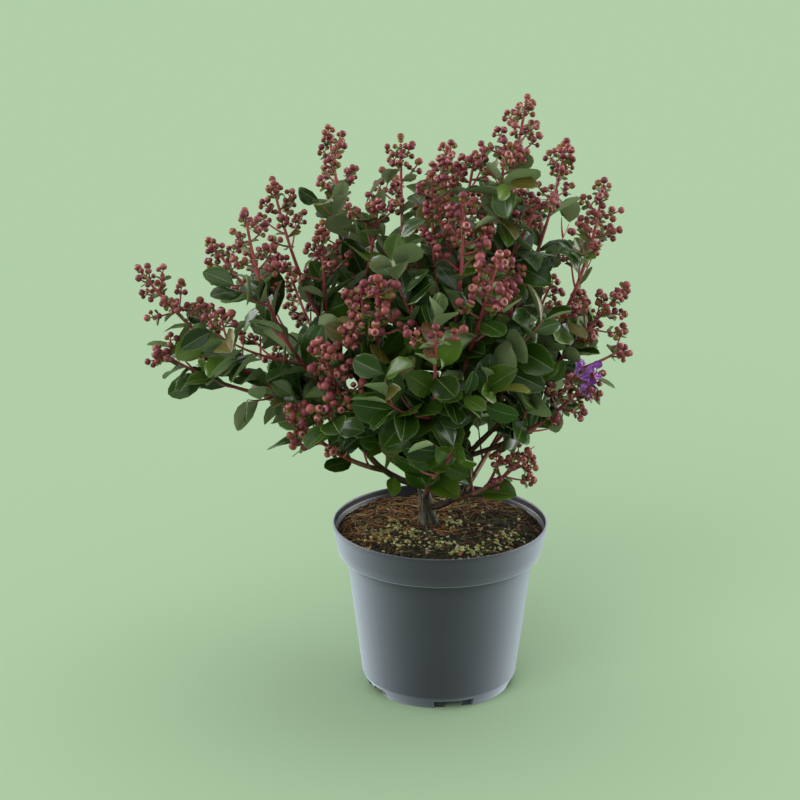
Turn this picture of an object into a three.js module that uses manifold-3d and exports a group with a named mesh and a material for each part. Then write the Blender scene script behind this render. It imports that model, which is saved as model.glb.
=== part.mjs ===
// Potted crape myrtle: a round nursery pot full of potting mix, a short leaning trunk, thirteen woody
// boughs, and masses of leafy shoots that end in panicles of round flower buds.
// Millimetres, +Z up. The origin is the centre of the pot's flat underside, and the side that the
// plant is seen from faces -Y.
import * as THREE from "three";
import { ConvexGeometry } from "three/addons/geometries/ConvexGeometry.js";
import { mergeVertices } from "three/addons/utils/BufferGeometryUtils.js";
import Module from "manifold-3d";

const wasm = await Module();
wasm.setup();

const UP = new THREE.Vector3(0, 0, 1);
const GAP = 0.35; // air between two pieces that touch
const FINEST = 0.12; // smaller steps than this are smoothed away

// Driving dimensions of the pot, each a radius or a height above the ground
const POT = {
  height: 152,
  lipRadius: 95,
  bandRadius: 91,
  bandFoot: 124.5,
  wallTopRadius: 82.4,
  kneeRadius: 68.8,
  kneeHeight: 11.5,
  footRadius: 63.5,
  ringInside: 57.5,
  ringHeight: 10,
  floorHeight: 7,
  floorUnder: 5,
  bossRadius: 20,
  wall: 1.8,
  segments: 30,
};
const NOTCH = { count: 5, first: -78.4, width: 34, recess: 1.6, gapWidth: 16, height: 8 };
const MIX = { top: 146, edgeDrop: 2.7, flatRadius: 26, roughness: 1.6 };

// Driving dimensions of the plant
const TRUNK = {
  foot: [-10, 6],
  tip: [-28, 8],
  height: 76,
  bow: 3,
  footRadius: 5.9,
  tipRadius: 4,
  flare: 0.42,
};
const BOUGH = { sag: 0.12, baseRadius: 3, tipRadius: 2.3 };
const SHOOT = { baseRadius: 2.4, tipRadius: 1.2, sag: 0.09, sideBase: 1.8, tipInset: 4, leafGap: 19 };
const LEAF = { length: 53, widthShare: 0.66, keel: 1.7, widest: 0.55, droop: 0.05, lowest: -0.12 };
const PANICLE = { length: 66, branch: 30, headRadius: 9, whorls: 2 };
const MARGIN = 1.6; // least air between the foliage of two masses
const CLEAR_OF_LIMBS = 0.9;
const UNDERSIDE = { height: POT.height + 4, rise: 0.38 }; // the crown's lower face, rising outwards

const COLOURS = { pot: 0x3d4245, mix: 0x4a3623, bark: 0x5d4638, foliage: 0x2f4a24 };

// Each bough leaves the trunk at a height above the potting mix and ends at a tip [x, y, z].
const BOUGHS = {
  bough_low_right: { leaves: 14, tip: [22, -6, 182] },
  bough_low_front: { leaves: 26, tip: [-10, -36, 198] },
  bough_low_left: { leaves: 34, tip: [-62, -12, 216] },
  bough_low_back: { leaves: 40, tip: [-24, 48, 212] },
  bough_right: { leaves: 46, tip: [34, -6, 226] },
  bough_front: { leaves: 50, tip: [-2, -36, 234] },
  bough_back_left: { leaves: 54, tip: [-60, 44, 230] },
  bough_back_right: { leaves: 58, tip: [16, 44, 236] },
  bough_front_left: { leaves: 61, tip: [-54, -34, 240] },
  bough_left: { leaves: 65, tip: [-72, 4, 244] },
  bough_top_right: { leaves: 69, tip: [16, 12, 262] },
  bough_top_left: { leaves: 73, tip: [-56, 12, 268] },
  bough_top: { leaves: 76, tip: [-24, -2, 276] },
};

// Each mass of foliage grows on from a bough's tip to the end of its leading shoot, [x, y, z].
// sides is the number of its side shoots, and the seed settles where they and the leaves stand.
const MASSES = [
  { name: "foliage_low_right", bough: "bough_low_right", tip: [76, -52, 236], sides: 1, seed: 11 },
  { name: "foliage_low_right_back", bough: "bough_low_right", tip: [84, 62, 272], sides: 1, seed: 12 },
  { name: "foliage_low_front", bough: "bough_low_front", tip: [14, -110, 262], sides: 1, seed: 13 },
  { name: "foliage_low_left_front", bough: "bough_low_left", tip: [-126, -90, 286], sides: 2, seed: 14 },
  { name: "foliage_low_left_back", bough: "bough_low_left", tip: [-150, 62, 292], sides: 2, seed: 15 },
  { name: "foliage_low_back", bough: "bough_low_back", tip: [-34, 150, 282], sides: 2, seed: 16 },
  { name: "foliage_right_blooms", bough: "bough_right", tip: [134, -46, 306], sides: 1, seed: 17 },
  { name: "foliage_right", bough: "bough_right", tip: [158, -14, 372], sides: 1, seed: 18 },
  { name: "foliage_front_low", bough: "bough_front", tip: [-4, -146, 370], sides: 2, seed: 19 },
  { name: "foliage_front", bough: "bough_front", tip: [46, -120, 422], sides: 2, seed: 20 },
  { name: "foliage_back_left_low", bough: "bough_back_left", tip: [-140, 126, 346], sides: 1, seed: 21 },
  { name: "foliage_back_left", bough: "bough_back_left", tip: [-96, 124, 432], sides: 1, seed: 22 },
  { name: "foliage_back_right_low", bough: "bough_back_right", tip: [104, 118, 346], sides: 1, seed: 23 },
  { name: "foliage_back_right", bough: "bough_back_right", tip: [62, 116, 436], sides: 1, seed: 24 },
  { name: "foliage_front_left_low", bough: "bough_front_left", tip: [-98, -116, 350], sides: 1, seed: 25 },
  { name: "foliage_front_left", bough: "bough_front_left", tip: [-50, -126, 404], sides: 1, seed: 26 },
  { name: "foliage_far_left", bough: "bough_left", tip: [-256, -30, 388], sides: 1, seed: 27 },
  { name: "foliage_left_back", bough: "bough_left", tip: [-203, 32, 398], sides: 1, seed: 28 },
  { name: "foliage_right_top", bough: "bough_top_right", tip: [136, -18, 462], sides: 1, seed: 29 },
  { name: "foliage_crown_tip", bough: "bough_top_right", tip: [70, -20, 532], sides: 1, seed: 30 },
  { name: "foliage_right_top_back", bough: "bough_top_right", tip: [108, 54, 482], sides: 1, seed: 31 },
  { name: "foliage_left_top", bough: "bough_top_left", tip: [-162, -58, 444], sides: 1, seed: 32 },
  { name: "foliage_left_top_back", bough: "bough_top_left", tip: [-146, 28, 453], sides: 1, seed: 33 },
  { name: "foliage_left_crown", bough: "bough_top_left", tip: [-98, 42, 496], sides: 1, seed: 34 },
  { name: "foliage_crown_back", bough: "bough_top", tip: [-36, 62, 484], sides: 1, seed: 35 },
  { name: "foliage_crown", bough: "bough_top", tip: [8, 18, 487], sides: 1, seed: 36 },
  { name: "foliage_crown_front", bough: "bough_top", tip: [18, -72, 460], sides: 1, seed: 37 },
];


// The seeded rule: a number from 0 to 1 that is the same each time for one seed and one draw
const chance = (seed, draw) => {
  const wave = Math.sin(seed * 12.9898 + draw * 78.233) * 43758.5453;
  return wave - Math.floor(wave);
};
const between = (seed, draw, low, high) => low + (high - low) * chance(seed, draw);
const vector = (numbers) => new THREE.Vector3(...numbers);
const radians = THREE.MathUtils.degToRad;

// A closed geometry as a solid, and a solid as a geometry
function toSolid(geometry) {
  const bare = new THREE.BufferGeometry().setAttribute("position", geometry.getAttribute("position"));
  bare.setIndex(geometry.getIndex());
  const welded = mergeVertices(bare, 1e-4);
  const triVerts = new Uint32Array(welded.index.array);
  const vertProperties = new Float32Array(welded.attributes.position.array);
  const mesh = new wasm.Mesh({ numProp: 3, vertProperties, triVerts });
  mesh.merge();
  return new wasm.Manifold(mesh);
}

function toGeometry(solid) {
  const { vertProperties, triVerts } = solid.getMesh();
  const geometry = new THREE.BufferGeometry();
  geometry.setAttribute("position", new THREE.BufferAttribute(vertProperties, 3));
  geometry.setIndex(new THREE.BufferAttribute(triVerts, 1));
  return geometry;
}

// The largest body of a solid, which leaves out loose scraps and fills sealed hollows
const largest = (solid) => solid.decompose().sort((a, b) => b.volume() - a.volume())[0];
const fuse = (solids) => largest(solids.reduce((all, solid) => all.add(solid)).simplify(FINEST));

// A limb that sets out from a point towards its tip and sags first, so that its end turns up
function limbCurve(start, tip, sag) {
  const length = start.distanceTo(tip);
  const outward = tip.clone().sub(start).setZ(0).normalize();
  const middle = start.clone().add(tip).multiplyScalar(0.5);
  middle.addScaledVector(outward, sag * length).addScaledVector(UP, -sag * length);
  return new THREE.QuadraticBezierCurve3(start, middle, tip);
}

// A tapering limb: a cylinder of unit radius and height whose rings are carried along the curve.
// flare widens the first rings, and grow adds the same thickness all along.
function limb(curve, baseRadius, tipRadius, { sides, steps, flare = 0, grow = 0 }) {
  const geometry = new THREE.CylinderGeometry(1, 1, 1, sides, steps);
  const { tangents, normals, binormals } = curve.computeFrenetFrames(steps);
  const ring = geometry.getAttribute("position");
  for (let i = 0; i < ring.count; i += 1) {
    const share = ring.getY(i) + 0.5;
    const step = Math.round(share * steps);
    const widened = 1 + flare * Math.exp(-7 * share);
    const radius = (baseRadius + (tipRadius - baseRadius) * share) * widened + grow;
    const point = curve.getPointAt(share);
    if (step === 0) point.addScaledVector(tangents[step], -grow);
    if (step === steps) point.addScaledVector(tangents[step], grow);
    point.addScaledVector(binormals[step], ring.getX(i) * radius);
    point.addScaledVector(normals[step], ring.getZ(i) * radius);
    ring.setXYZ(i, point.x, point.y, point.z);
  }
  return toSolid(geometry);
}

// Pot: one closed profile, from the middle of the underside out, up the wall, over the lip and down inside
const potOutside = [
  [0, 0],
  [POT.bossRadius, 0],
  [POT.bossRadius + 3.5, POT.floorUnder],
  [POT.ringInside - 1.5, POT.floorUnder],
  [POT.ringInside, 0],
  [POT.footRadius, 0],
  [POT.kneeRadius, POT.kneeHeight],
  [POT.wallTopRadius, POT.bandFoot - 2.5],
  [POT.bandRadius - 1.5, POT.bandFoot],
  [POT.bandRadius, POT.height - 9.5],
  [POT.lipRadius - 0.4, POT.height - 7],
  [POT.lipRadius, POT.height - 1.4],
  [POT.lipRadius - 0.8, POT.height],
];
const potInside = [
  [POT.lipRadius - POT.wall, POT.height - 1],
  [POT.lipRadius - 0.4 - POT.wall, POT.height - 6],
  [POT.bandRadius - POT.wall, POT.height - 8.8],
  [POT.bandRadius - 1.5 - POT.wall, POT.bandFoot + 1.8],
  [POT.wallTopRadius - POT.wall, POT.bandFoot - 1.6],
  [POT.kneeRadius - POT.wall + 0.3, POT.kneeHeight + 3],
  [POT.kneeRadius - 3.8, POT.ringHeight],
  [POT.ringInside, POT.ringHeight],
  [POT.ringInside - 2.5, POT.floorHeight],
  [POT.bossRadius + 5.5, POT.floorHeight],
  [POT.bossRadius + 1, 2.4],
  [0, 2.4],
];

// A profile of [radius, height] pairs turned about the pot's axis, standing along +Z
function turned(profile) {
  const points = profile.map(([radius, height]) => new THREE.Vector2(radius, height));
  return new THREE.LatheGeometry(points, POT.segments).rotateX(Math.PI / 2);
}

// A block that stands on the ground at an angle round the pot, from one radius to another
function footCutter(angle, width, from, to, height) {
  const below = 5;
  const block = new THREE.BoxGeometry(to - from, width, height + below);
  block.translate((from + to) / 2, 0, (height - below) / 2);
  return toSolid(block.rotateZ(radians(angle)));
}

function makePot() {
  let pot = toSolid(turned([...potOutside, ...potInside]));
  const beyond = POT.kneeRadius + 5;
  for (let i = 0; i < NOTCH.count; i += 1) {
    const angle = NOTCH.first + (360 / NOTCH.count) * i;
    const face = (POT.footRadius - NOTCH.recess) * Math.cos(radians(180 / POT.segments));
    pot = pot.subtract(footCutter(angle, NOTCH.width, face, beyond, NOTCH.height));
    pot = pot.subtract(footCutter(angle, NOTCH.gapWidth, POT.ringInside - 4, beyond, POT.floorUnder));
    pot = pot.subtract(footCutter(angle, NOTCH.gapWidth, POT.ringInside + 0.5, beyond, NOTCH.height));
  }
  return pot;
}

// Potting mix: it fills the pot to just under the lip, with an uneven top that is level round the trunk
function makePottingMix() {
  const edge = POT.bandRadius - POT.wall - 1;
  const top = [edge, 70, 54, 40, MIX.flatRadius, 0].map((radius) => [
    radius,
    radius === edge ? MIX.top - MIX.edgeDrop : MIX.top,
  ]);
  const wallRows = potInside.slice(3).map(([radius, height], row) => {
    const slant = row === 0 ? 0.5 : GAP;
    return [Math.max(radius - GAP - 0.1, 0), height + slant];
  });
  const geometry = turned([...wallRows.reverse(), ...top]);
  const place = geometry.getAttribute("position");
  for (let i = 0; i < place.count; i += 1) {
    const radius = Math.hypot(place.getX(i), place.getY(i));
    const isOpen = place.getZ(i) === MIX.top && radius > MIX.flatRadius + 1;
    const spot = Math.round(place.getX(i)) + 7 * Math.round(place.getY(i));
    if (isOpen) place.setZ(i, MIX.top + between(spot, 1, -1, 0.6) * MIX.roughness);
  }
  return toSolid(geometry);
}

// Trunk and boughs
const trunkCurve = new THREE.QuadraticBezierCurve3(
  new THREE.Vector3(...TRUNK.foot, MIX.top + GAP),
  new THREE.Vector3(TRUNK.foot[0] - TRUNK.bow, TRUNK.foot[1], MIX.top + TRUNK.height * 0.5),
  new THREE.Vector3(...TRUNK.tip, MIX.top + TRUNK.height),
);
const TRUNK_SHAPE = { sides: 9, steps: 6, flare: TRUNK.flare };
const LIMB_SHAPE = { sides: 6, steps: 4 };

const trunk = (grow) =>
  limb(trunkCurve, TRUNK.footRadius, TRUNK.tipRadius, { ...TRUNK_SHAPE, grow });

// The flat cut at ground level: what reaches below it is taken off.
function makeTrunk() {
  const side = 60;
  const ground = new THREE.BoxGeometry(side, side, side);
  ground.translate(...TRUNK.foot, MIX.top + GAP - side / 2);
  return trunk(0).subtract(toSolid(ground));
}

const boughCurves = {};
for (const [name, { leaves, tip }] of Object.entries(BOUGHS)) {
  const start = trunkCurve.getPointAt(leaves / TRUNK.height);
  boughCurves[name] = limbCurve(start, vector(tip), BOUGH.sag);
}

const bough = (name, grow) =>
  limb(boughCurves[name], BOUGH.baseRadius, BOUGH.tipRadius, { ...LIMB_SHAPE, grow });

// Each bough is cut clear of the trunk and of the boughs that leave the trunk below it.
function makeBoughs() {
  const made = {};
  let older = trunk(GAP);
  for (const name of Object.keys(BOUGHS)) {
    made[name] = largest(bough(name, 0).subtract(older));
    older = older.add(bough(name, GAP));
  }
  return made;
}

// Shoots: the mass's leader, then its side shoots, which leave the leader at a seeded place and angle
function shootFrame(curve, share) {
  const along = curve.getTangentAt(share);
  const across = new THREE.Vector3().crossVectors(along, UP).normalize();
  const over = new THREE.Vector3().crossVectors(across, along);
  return { along, across, over };
}

// A direction that leans from the shoot's own line by an angle, towards an azimuth round it
function leaning({ along, across, over }, lean, azimuth) {
  const direction = along.clone().multiplyScalar(Math.cos(lean));
  direction.addScaledVector(across, Math.sin(lean) * Math.cos(azimuth));
  return direction.addScaledVector(over, Math.sin(lean) * Math.sin(azimuth));
}

const panicleOn = (curve, share) => Math.min(PANICLE.length * share, curve.getLength() * 0.55);

// On each bough the highest mass leaves straight on from its very tip, and the lower ones leave a
// little before it and sag more, so that they part from each other at once.
function growLeader({ bough: parent, tip, seed }) {
  const higher = MASSES.filter((mass) => mass.bough === parent && mass.tip[2] > tip[2]).length;
  const start = boughCurves[parent].getPointAt(1 - 0.35 * higher);
  const inset = vector(tip).sub(start).setLength(SHOOT.tipInset);
  const curve = limbCurve(start, vector(tip).sub(inset), SHOOT.sag * (0.2 + higher));
  return { curve, base: SHOOT.baseRadius, panicle: panicleOn(curve, 1), seed };
}

const linesOf = (curve, steps) => {
  const points = curve.getSpacedPoints(steps);
  return points.slice(1).map((point, i) => new THREE.Line3(points[i], point));
};
const nearest = new THREE.Vector3();
const distanceTo = (lines, point) =>
  Math.min(...lines.map((line) => line.closestPointToPoint(point, true, nearest).distanceTo(point)));

const aboveUnderside = ({ x, y, z }) =>
  z - UNDERSIDE.height - UNDERSIDE.rise * Math.hypot(x - TRUNK.tip[0], y - TRUNK.tip[1]);

const masses = MASSES.map((mass) => ({ ...mass, shoots: [growLeader(mass)] }));
const skeletons = masses.map(({ shoots }) => linesOf(shoots[0].curve, 8));
const limbLines = [trunkCurve, ...Object.values(boughCurves)].map((curve) => linesOf(curve, 6));

// Of eight azimuths a side shoot takes the one whose end has most room from everything grown so far.
function growSideShoot(mass, index, side) {
  const own = mass.seed + 100 * side;
  const leader = mass.shoots[0].curve;
  const share = between(own, 1, 0.3, 0.46);
  const lean = radians(between(own, 2, 34, 48));
  const frame = shootFrame(leader, share);
  const origin = leader.getPointAt(share);
  const length = leader.getLength() * (1 - share) * between(own, 4, 0.62, 0.82);
  const candidates = Array.from({ length: 8 }, (_, i) => {
    const direction = leaning(frame, lean, radians(45 * i + between(own, 3, 0, 45)));
    direction.addScaledVector(UP, 0.15).normalize();
    const end = origin.clone().addScaledVector(direction, length);
    const curve = limbCurve(origin, end, SHOOT.sag);
    const room = Math.min(...[0.5, 1].map((at) => {
      const point = curve.getPointAt(at);
      const others = skeletons.filter((_, i) => i !== index || at === 1);
      const above = aboveUnderside(point) - 25;
      return Math.min(above, ...[...others, ...limbLines].map((lines) => distanceTo(lines, point)));
    }));
    return { curve, room };
  });
  const { curve } = candidates.sort((a, b) => b.room - a.room)[0];
  mass.shoots.push({ curve, base: SHOOT.sideBase, panicle: panicleOn(curve, 0.75), seed: own });
  skeletons[index].push(...linesOf(curve, 6));
}
masses.forEach((mass, index) => {
  for (let side = 1; side <= mass.sides; side += 1) growSideShoot(mass, index, side);
});

// A mass's own space: the points that lie nearer to its shoots than to any other mass's
function isFree(index, points) {
  return points.every((point) => {
    if (aboveUnderside(point) < 0) return false;
    const own = distanceTo(skeletons[index], point);
    const isOwn = skeletons.every((lines, i) => i === index || distanceTo(lines, point) > own + MARGIN);
    return isOwn && limbLines.every((lines, i) => {
      const radius = i === 0 ? TRUNK.footRadius : BOUGH.baseRadius;
      return distanceTo(lines, point) > radius + CLEAR_OF_LIMBS;
    });
  });
}

// Corners of a small shape set at a root, its length along one direction and its face to another
function placed(geometry, root, direction, face) {
  const side = new THREE.Vector3().crossVectors(direction, face).normalize();
  const normal = new THREE.Vector3().crossVectors(side, direction);
  const frame = new THREE.Matrix4().makeBasis(side, direction, normal).setPosition(root);
  return geometry.applyMatrix4(frame);
}

// The corners of a small form that stand clear of its root
function beyondRoot(geometry, root) {
  const position = geometry.getAttribute("position");
  const corners = Array.from({ length: position.count }, (_, i) =>
    new THREE.Vector3().fromBufferAttribute(position, i),
  );
  return corners.filter((corner) => corner.distanceTo(root) > 3);
}

// A small closed form of flat faces round the given corners, [x, y, z] each
const faceted = (corners) => new ConvexGeometry(corners.map(vector));

// Leaf: its root at the origin and its length along +Y, widest past its middle, flat above, with a
// keel below that is deepest close to the root, and bent down towards its tip
function leafGeometry(length) {
  const half = (LEAF.widthShare * length) / 2;
  const [widest, tip] = [LEAF.widest * length, [0, length, -LEAF.droop * length]];
  return faceted([[0, 0, 0], [0, 5, -LEAF.keel], [-half, widest, 0], [half, widest, 0], tip]);
}

// Leaves stand in pairs along a shoot, each pair turned a quarter from the last, up to the panicle.
// A leaf that finds no room is turned, then made smaller, and left out if there is none at all.
const TRIES = [1, 0.8, 0.62].flatMap((size) => [0, 30, -30, 60, -60].map((turn) => ({ size, turn })));

function growLeaves({ curve, base, panicle, seed }, place) {
  const length = curve.getLength();
  const first = base === SHOOT.baseRadius ? 8 : 12;
  const leafy = length - 0.86 * panicle - first;
  const pairs = Math.max(1, Math.round(leafy / SHOOT.leafGap));
  for (let pair = 0; pair < pairs; pair += 1) {
    for (let hand = 0; hand < 2; hand += 1) {
      const share = (first + (leafy * (pair + 0.2 + 0.25 * hand)) / pairs) / length;
      const frame = shootFrame(curve, share);
      const root = curve.getPointAt(share);
      const draw = 10 + 10 * pair + 5 * hand;
      const full = LEAF.length * between(seed, draw, 0.88, 1.12) * (1 - 0.3 * (pair / pairs));
      const around = radians(90 * pair + 180 * hand + between(seed, draw + 1, -25, 25));
      const lean = radians(between(seed, draw + 2, 48, 76));
      const roll = radians(between(seed, draw + 3, -50, 50));
      TRIES.some(({ size, turn }) => {
        const direction = leaning(frame, lean, around + radians(turn)).addScaledVector(UP, 0.1);
        direction.setZ(Math.max(direction.z, LEAF.lowest)).normalize();
        const face = frame.along.clone().addScaledVector(UP, 0.55).applyAxisAngle(direction, roll);
        return place(placed(leafGeometry(full * size), root, direction, face), root);
      });
    }
  }
}

// Panicle: opposite pairs of short branches along the shoot's end and one more at its tip, each
// ending in a head of round buds
function growPanicle({ curve, base, panicle, seed }, place) {
  const length = curve.getLength();
  const radius = PANICLE.headRadius;
  const addBranch = (root, direction, reach) => {
    const head = [0, 120, 240].map((turn) => {
      const [x, z] = [Math.cos(radians(turn)), Math.sin(radians(turn))];
      return [x * radius, reach - 0.9 * radius, z * radius];
    });
    place(placed(faceted([[0, 0, 0], ...head, [0, reach, 0]]), root, direction, UP), root);
  };
  addBranch(curve.getPointAt(1 - 5 / length), curve.getTangentAt(1), 5 + 1.4 * radius);
  const whorls = base === SHOOT.baseRadius ? PANICLE.whorls : 1;
  for (let whorl = 0; whorl < whorls; whorl += 1) {
    for (let hand = 0; hand < 2; hand += 1) {
      const draw = 200 + 10 * whorl + 5 * hand;
      const share = 1 - (panicle * (0.8 - 0.42 * whorl) - 4 * hand) / length;
      const turn = radians(90 * whorl + 180 * hand + between(seed, draw, -30, 30));
      const lean = radians(between(seed, draw + 1, 36, 52));
      const reach = PANICLE.branch * (1 - 0.2 * whorl) * between(seed, draw + 2, 0.9, 1.15);
      addBranch(curve.getPointAt(share), leaning(shootFrame(curve, share), lean, turn), reach);
    }
  }
}

// A mass is its shoots, panicles and leaves in one piece, cut clear of the bough that carries it.
// Nothing grows through a leaf or a panicle that is there already, or through another shoot.
function makeMass(mass, index) {
  const stems = mass.shoots.map(({ curve, base }, i) =>
    limb(curve, base, SHOOT.tipRadius, { sides: 3, steps: i === 0 ? 4 : 3 }),
  );
  const grown = [];
  const placeOn = (own) => (geometry, root) => {
    if (!isFree(index, beyondRoot(geometry, root))) return false;
    const piece = toSolid(geometry);
    const inTheWay = [...stems.filter((stem) => stem !== own), ...grown];
    if (inTheWay.some((other) => !other.intersect(piece).isEmpty())) return false;
    grown.push(piece);
    return true;
  };
  mass.shoots.forEach((shoot, i) => growPanicle(shoot, placeOn(stems[i])));
  mass.shoots.forEach((shoot, i) => growLeaves(shoot, placeOn(stems[i])));
  return largest(fuse([...stems, ...grown]).subtract(bough(mass.bough, GAP)));
}

// The whole plant, one named mesh for each piece
const plant = new THREE.Group();

function addPiece(name, solid, color, roughness) {
  const material = new THREE.MeshStandardMaterial({ color, roughness, metalness: 0 });
  const mesh = new THREE.Mesh(toGeometry(solid), material);
  mesh.name = name;
  plant.add(mesh);
}

addPiece("pot", makePot(), COLOURS.pot, 0.5);
addPiece("potting_mix", makePottingMix(), COLOURS.mix, 0.95);
addPiece("trunk", makeTrunk(), COLOURS.bark, 0.8);
for (const [name, solid] of Object.entries(makeBoughs())) addPiece(name, solid, COLOURS.bark, 0.75);
masses.forEach((mass, index) => addPiece(mass.name, makeMass(mass, index), COLOURS.foliage, 0.45));

export default plant;
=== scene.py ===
import bpy
import numpy as np
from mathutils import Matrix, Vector


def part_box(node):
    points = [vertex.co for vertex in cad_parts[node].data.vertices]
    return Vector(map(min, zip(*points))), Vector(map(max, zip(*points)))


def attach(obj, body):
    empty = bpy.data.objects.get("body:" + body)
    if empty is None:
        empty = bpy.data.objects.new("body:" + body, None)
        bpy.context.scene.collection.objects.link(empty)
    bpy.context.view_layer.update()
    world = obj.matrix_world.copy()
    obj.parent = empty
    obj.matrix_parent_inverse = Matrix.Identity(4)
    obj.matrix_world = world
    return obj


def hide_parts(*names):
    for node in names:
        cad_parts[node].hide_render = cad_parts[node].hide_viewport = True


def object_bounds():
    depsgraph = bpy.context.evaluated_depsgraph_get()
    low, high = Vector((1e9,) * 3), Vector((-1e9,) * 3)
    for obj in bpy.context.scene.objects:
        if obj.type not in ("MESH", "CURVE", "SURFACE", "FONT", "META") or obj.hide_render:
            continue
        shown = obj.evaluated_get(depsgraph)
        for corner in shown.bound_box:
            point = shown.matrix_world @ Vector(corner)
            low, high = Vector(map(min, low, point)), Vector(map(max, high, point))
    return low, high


# A potted crape myrtle: a nursery pot of potting mix, a short trunk with thirteen boughs, and leafy
# shoots that end in panicles of round flower buds. Sizes are in millimetres, which build() turns to
# metres, and angles in degrees.
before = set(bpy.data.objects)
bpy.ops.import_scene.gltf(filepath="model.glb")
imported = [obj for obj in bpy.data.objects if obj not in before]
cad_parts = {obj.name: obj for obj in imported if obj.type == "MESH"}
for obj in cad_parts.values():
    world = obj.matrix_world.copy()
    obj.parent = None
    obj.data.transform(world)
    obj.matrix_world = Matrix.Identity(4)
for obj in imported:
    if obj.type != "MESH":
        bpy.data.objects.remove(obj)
cad_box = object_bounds()
MM = 0.001
UP = np.array([0.0, 0.0, 1.0])


# Camera, floor and light. A long lens looks down at the pot from the front. The floor is plain and
# pale. The light is an even sky with soft lamps: one overhead, one in front and a low one on each side.
CAMERA = {"place": (0, -1681.6, 794.1), "yaw": -1.194, "pitch": -17.55, "lens": 91.83}
FLOOR = {"side": 60000, "colour": 0xB3D0A8}
SKY = {"colour": 0xF6F8FC, "strength": 0.56}
# Each lamp: degrees round from the front towards +X, degrees above the floor, strength, degrees across
LAMPS = {
    "lamp_above": (170, 79, 0.95, 70),
    "lamp_front": (-25, 34, 0.92, 50),
    "lamp_left": (-104, 8, 5.8, 60),
    "lamp_right": (104, 8, 5.3, 60),
}


def linear(colour):
    """An sRGB hex value as linear red, green, blue and a full alpha: a channel c from 0 to 1 becomes
    ((c + 0.055) / 1.055) ** 2.4, or c / 12.92 where it is under 0.04045."""
    channels = np.array([colour >> 16, colour >> 8 & 255, colour & 255]) / 255
    curved = ((channels + 0.055) / 1.055) ** 2.4
    return (*np.where(channels > 0.04045, curved, channels / 12.92).tolist(), 1.0)


def add_node(tree, kind, inputs, **settings):
    """Adds a shader node with its settings. Each input, by name or by number, is a value or the
    output that feeds it."""
    made = tree.nodes.new("ShaderNode" + kind)
    for name, value in settings.items():
        setattr(made, name, value)
    for key, value in inputs.items():
        if isinstance(value, bpy.types.NodeSocket):
            tree.links.new(value, made.inputs[key])
        else:
            made.inputs[key].default_value = value
    return made


def new_finish(name, **surface):
    """A material with one Principled shader, whose constant values are set on its own sockets."""
    made = bpy.data.materials.new(name)
    made.use_nodes = True
    shader = made.node_tree.nodes["Principled BSDF"]
    for socket, value in surface.items():
        shader.inputs[socket.replace("_", " ")].default_value = value
    return made, made.node_tree, shader


def add_object(name, data):
    """An object at the origin, in the scene."""
    made = bpy.data.objects.new(name, data)
    bpy.context.scene.collection.objects.link(made)
    return made


camera = add_object("camera", bpy.data.cameras.new("camera"))
camera.data.lens = CAMERA["lens"]
camera.location = Vector(CAMERA["place"]) * MM
camera.rotation_euler = (np.radians(90 + CAMERA["pitch"]), 0, np.radians(-CAMERA["yaw"]))
bpy.context.scene.camera = camera
bpy.context.scene.view_settings.view_transform = "Standard"

for lamp, (azimuth, height, strength, width) in LAMPS.items():
    sun = add_object(lamp, bpy.data.lights.new(lamp, "SUN"))
    sun.data.energy = strength
    sun.data.angle = np.radians(width)
    round_, rise = np.radians((azimuth, height))
    towards = Vector((np.sin(round_) * np.cos(rise), -np.cos(round_) * np.cos(rise), np.sin(rise)))
    sun.rotation_euler = towards.to_track_quat("Z", "Y").to_euler()

sky = bpy.data.worlds.new("even_sky")
sky.use_nodes = True
sky.node_tree.nodes["Background"].inputs["Color"].default_value = linear(SKY["colour"])
sky.node_tree.nodes["Background"].inputs["Strength"].default_value = SKY["strength"]
bpy.context.scene.world = sky

# Matt painted board: an even colour with no shine of its own
painted_board, _, _ = new_finish(
    "painted_board", Base_Color=linear(FLOOR["colour"]), Roughness=1.0, Specular_IOR_Level=0.0
)
half_floor = FLOOR["side"] * MM / 2
floor_corners = [(x * half_floor, y * half_floor, 0) for x, y in ((-1, -1), (1, -1), (1, 1), (-1, 1))]
floor_mesh = bpy.data.meshes.new("floor")
floor_mesh.from_pydata(floor_corners, [], [(0, 1, 2, 3)])
floor_mesh.materials.append(painted_board)
floor = add_object("floor", floor_mesh)

# As with cards in a studio, the low side lamps don't reach the floor, so that no long shadows lie on it
carded_floor = bpy.data.collections.new("carded_floor")
carded_floor.objects.link(floor)
carded_floor.collection_objects[0].light_linking.link_state = "EXCLUDE"
for lamp in ("lamp_left", "lamp_right"):
    bpy.data.objects[lamp].light_linking.receiver_collection = carded_floor


# Pot: a round nursery pot, injection-moulded in one piece from dark grey polypropylene. It has a
# rolled lip over a deep band, a tapering wall, and a foot ring with five recessed drainage windows.
POT_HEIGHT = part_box("pot")[1].z / MM
LIP_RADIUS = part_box("pot")[1].x / MM
BAND = {"radius": 91, "foot_height": 124.5, "foot_radius": 89.5}
WALL = {"top_radius": 82.4, "thickness": 1.8, "knee_radius": 68.8, "knee_height": 11.5}
FOOT = {"radius": 63.5, "bend": 6.5, "ring_inside": 57.5, "floor_under": 5, "floor_top": 7}
BOSS = {"radius": 20, "top": 2.4}  # the middle of the floor, which stands on the ground
NOTCH = {
    "count": 5,
    "first": -78.4,
    "width": 34,
    "recess": 1.6,
    "gap_width": 16,
    "height": 8,
    "pair": 0.06,  # degrees from a window's edge to each of the two columns that draw it
}
POT_COLUMNS = 180
INSIDE_CORNER = 14  # how many rounded corners of the profile come before the inside wall
POT_ARC_STEPS = 4


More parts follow.
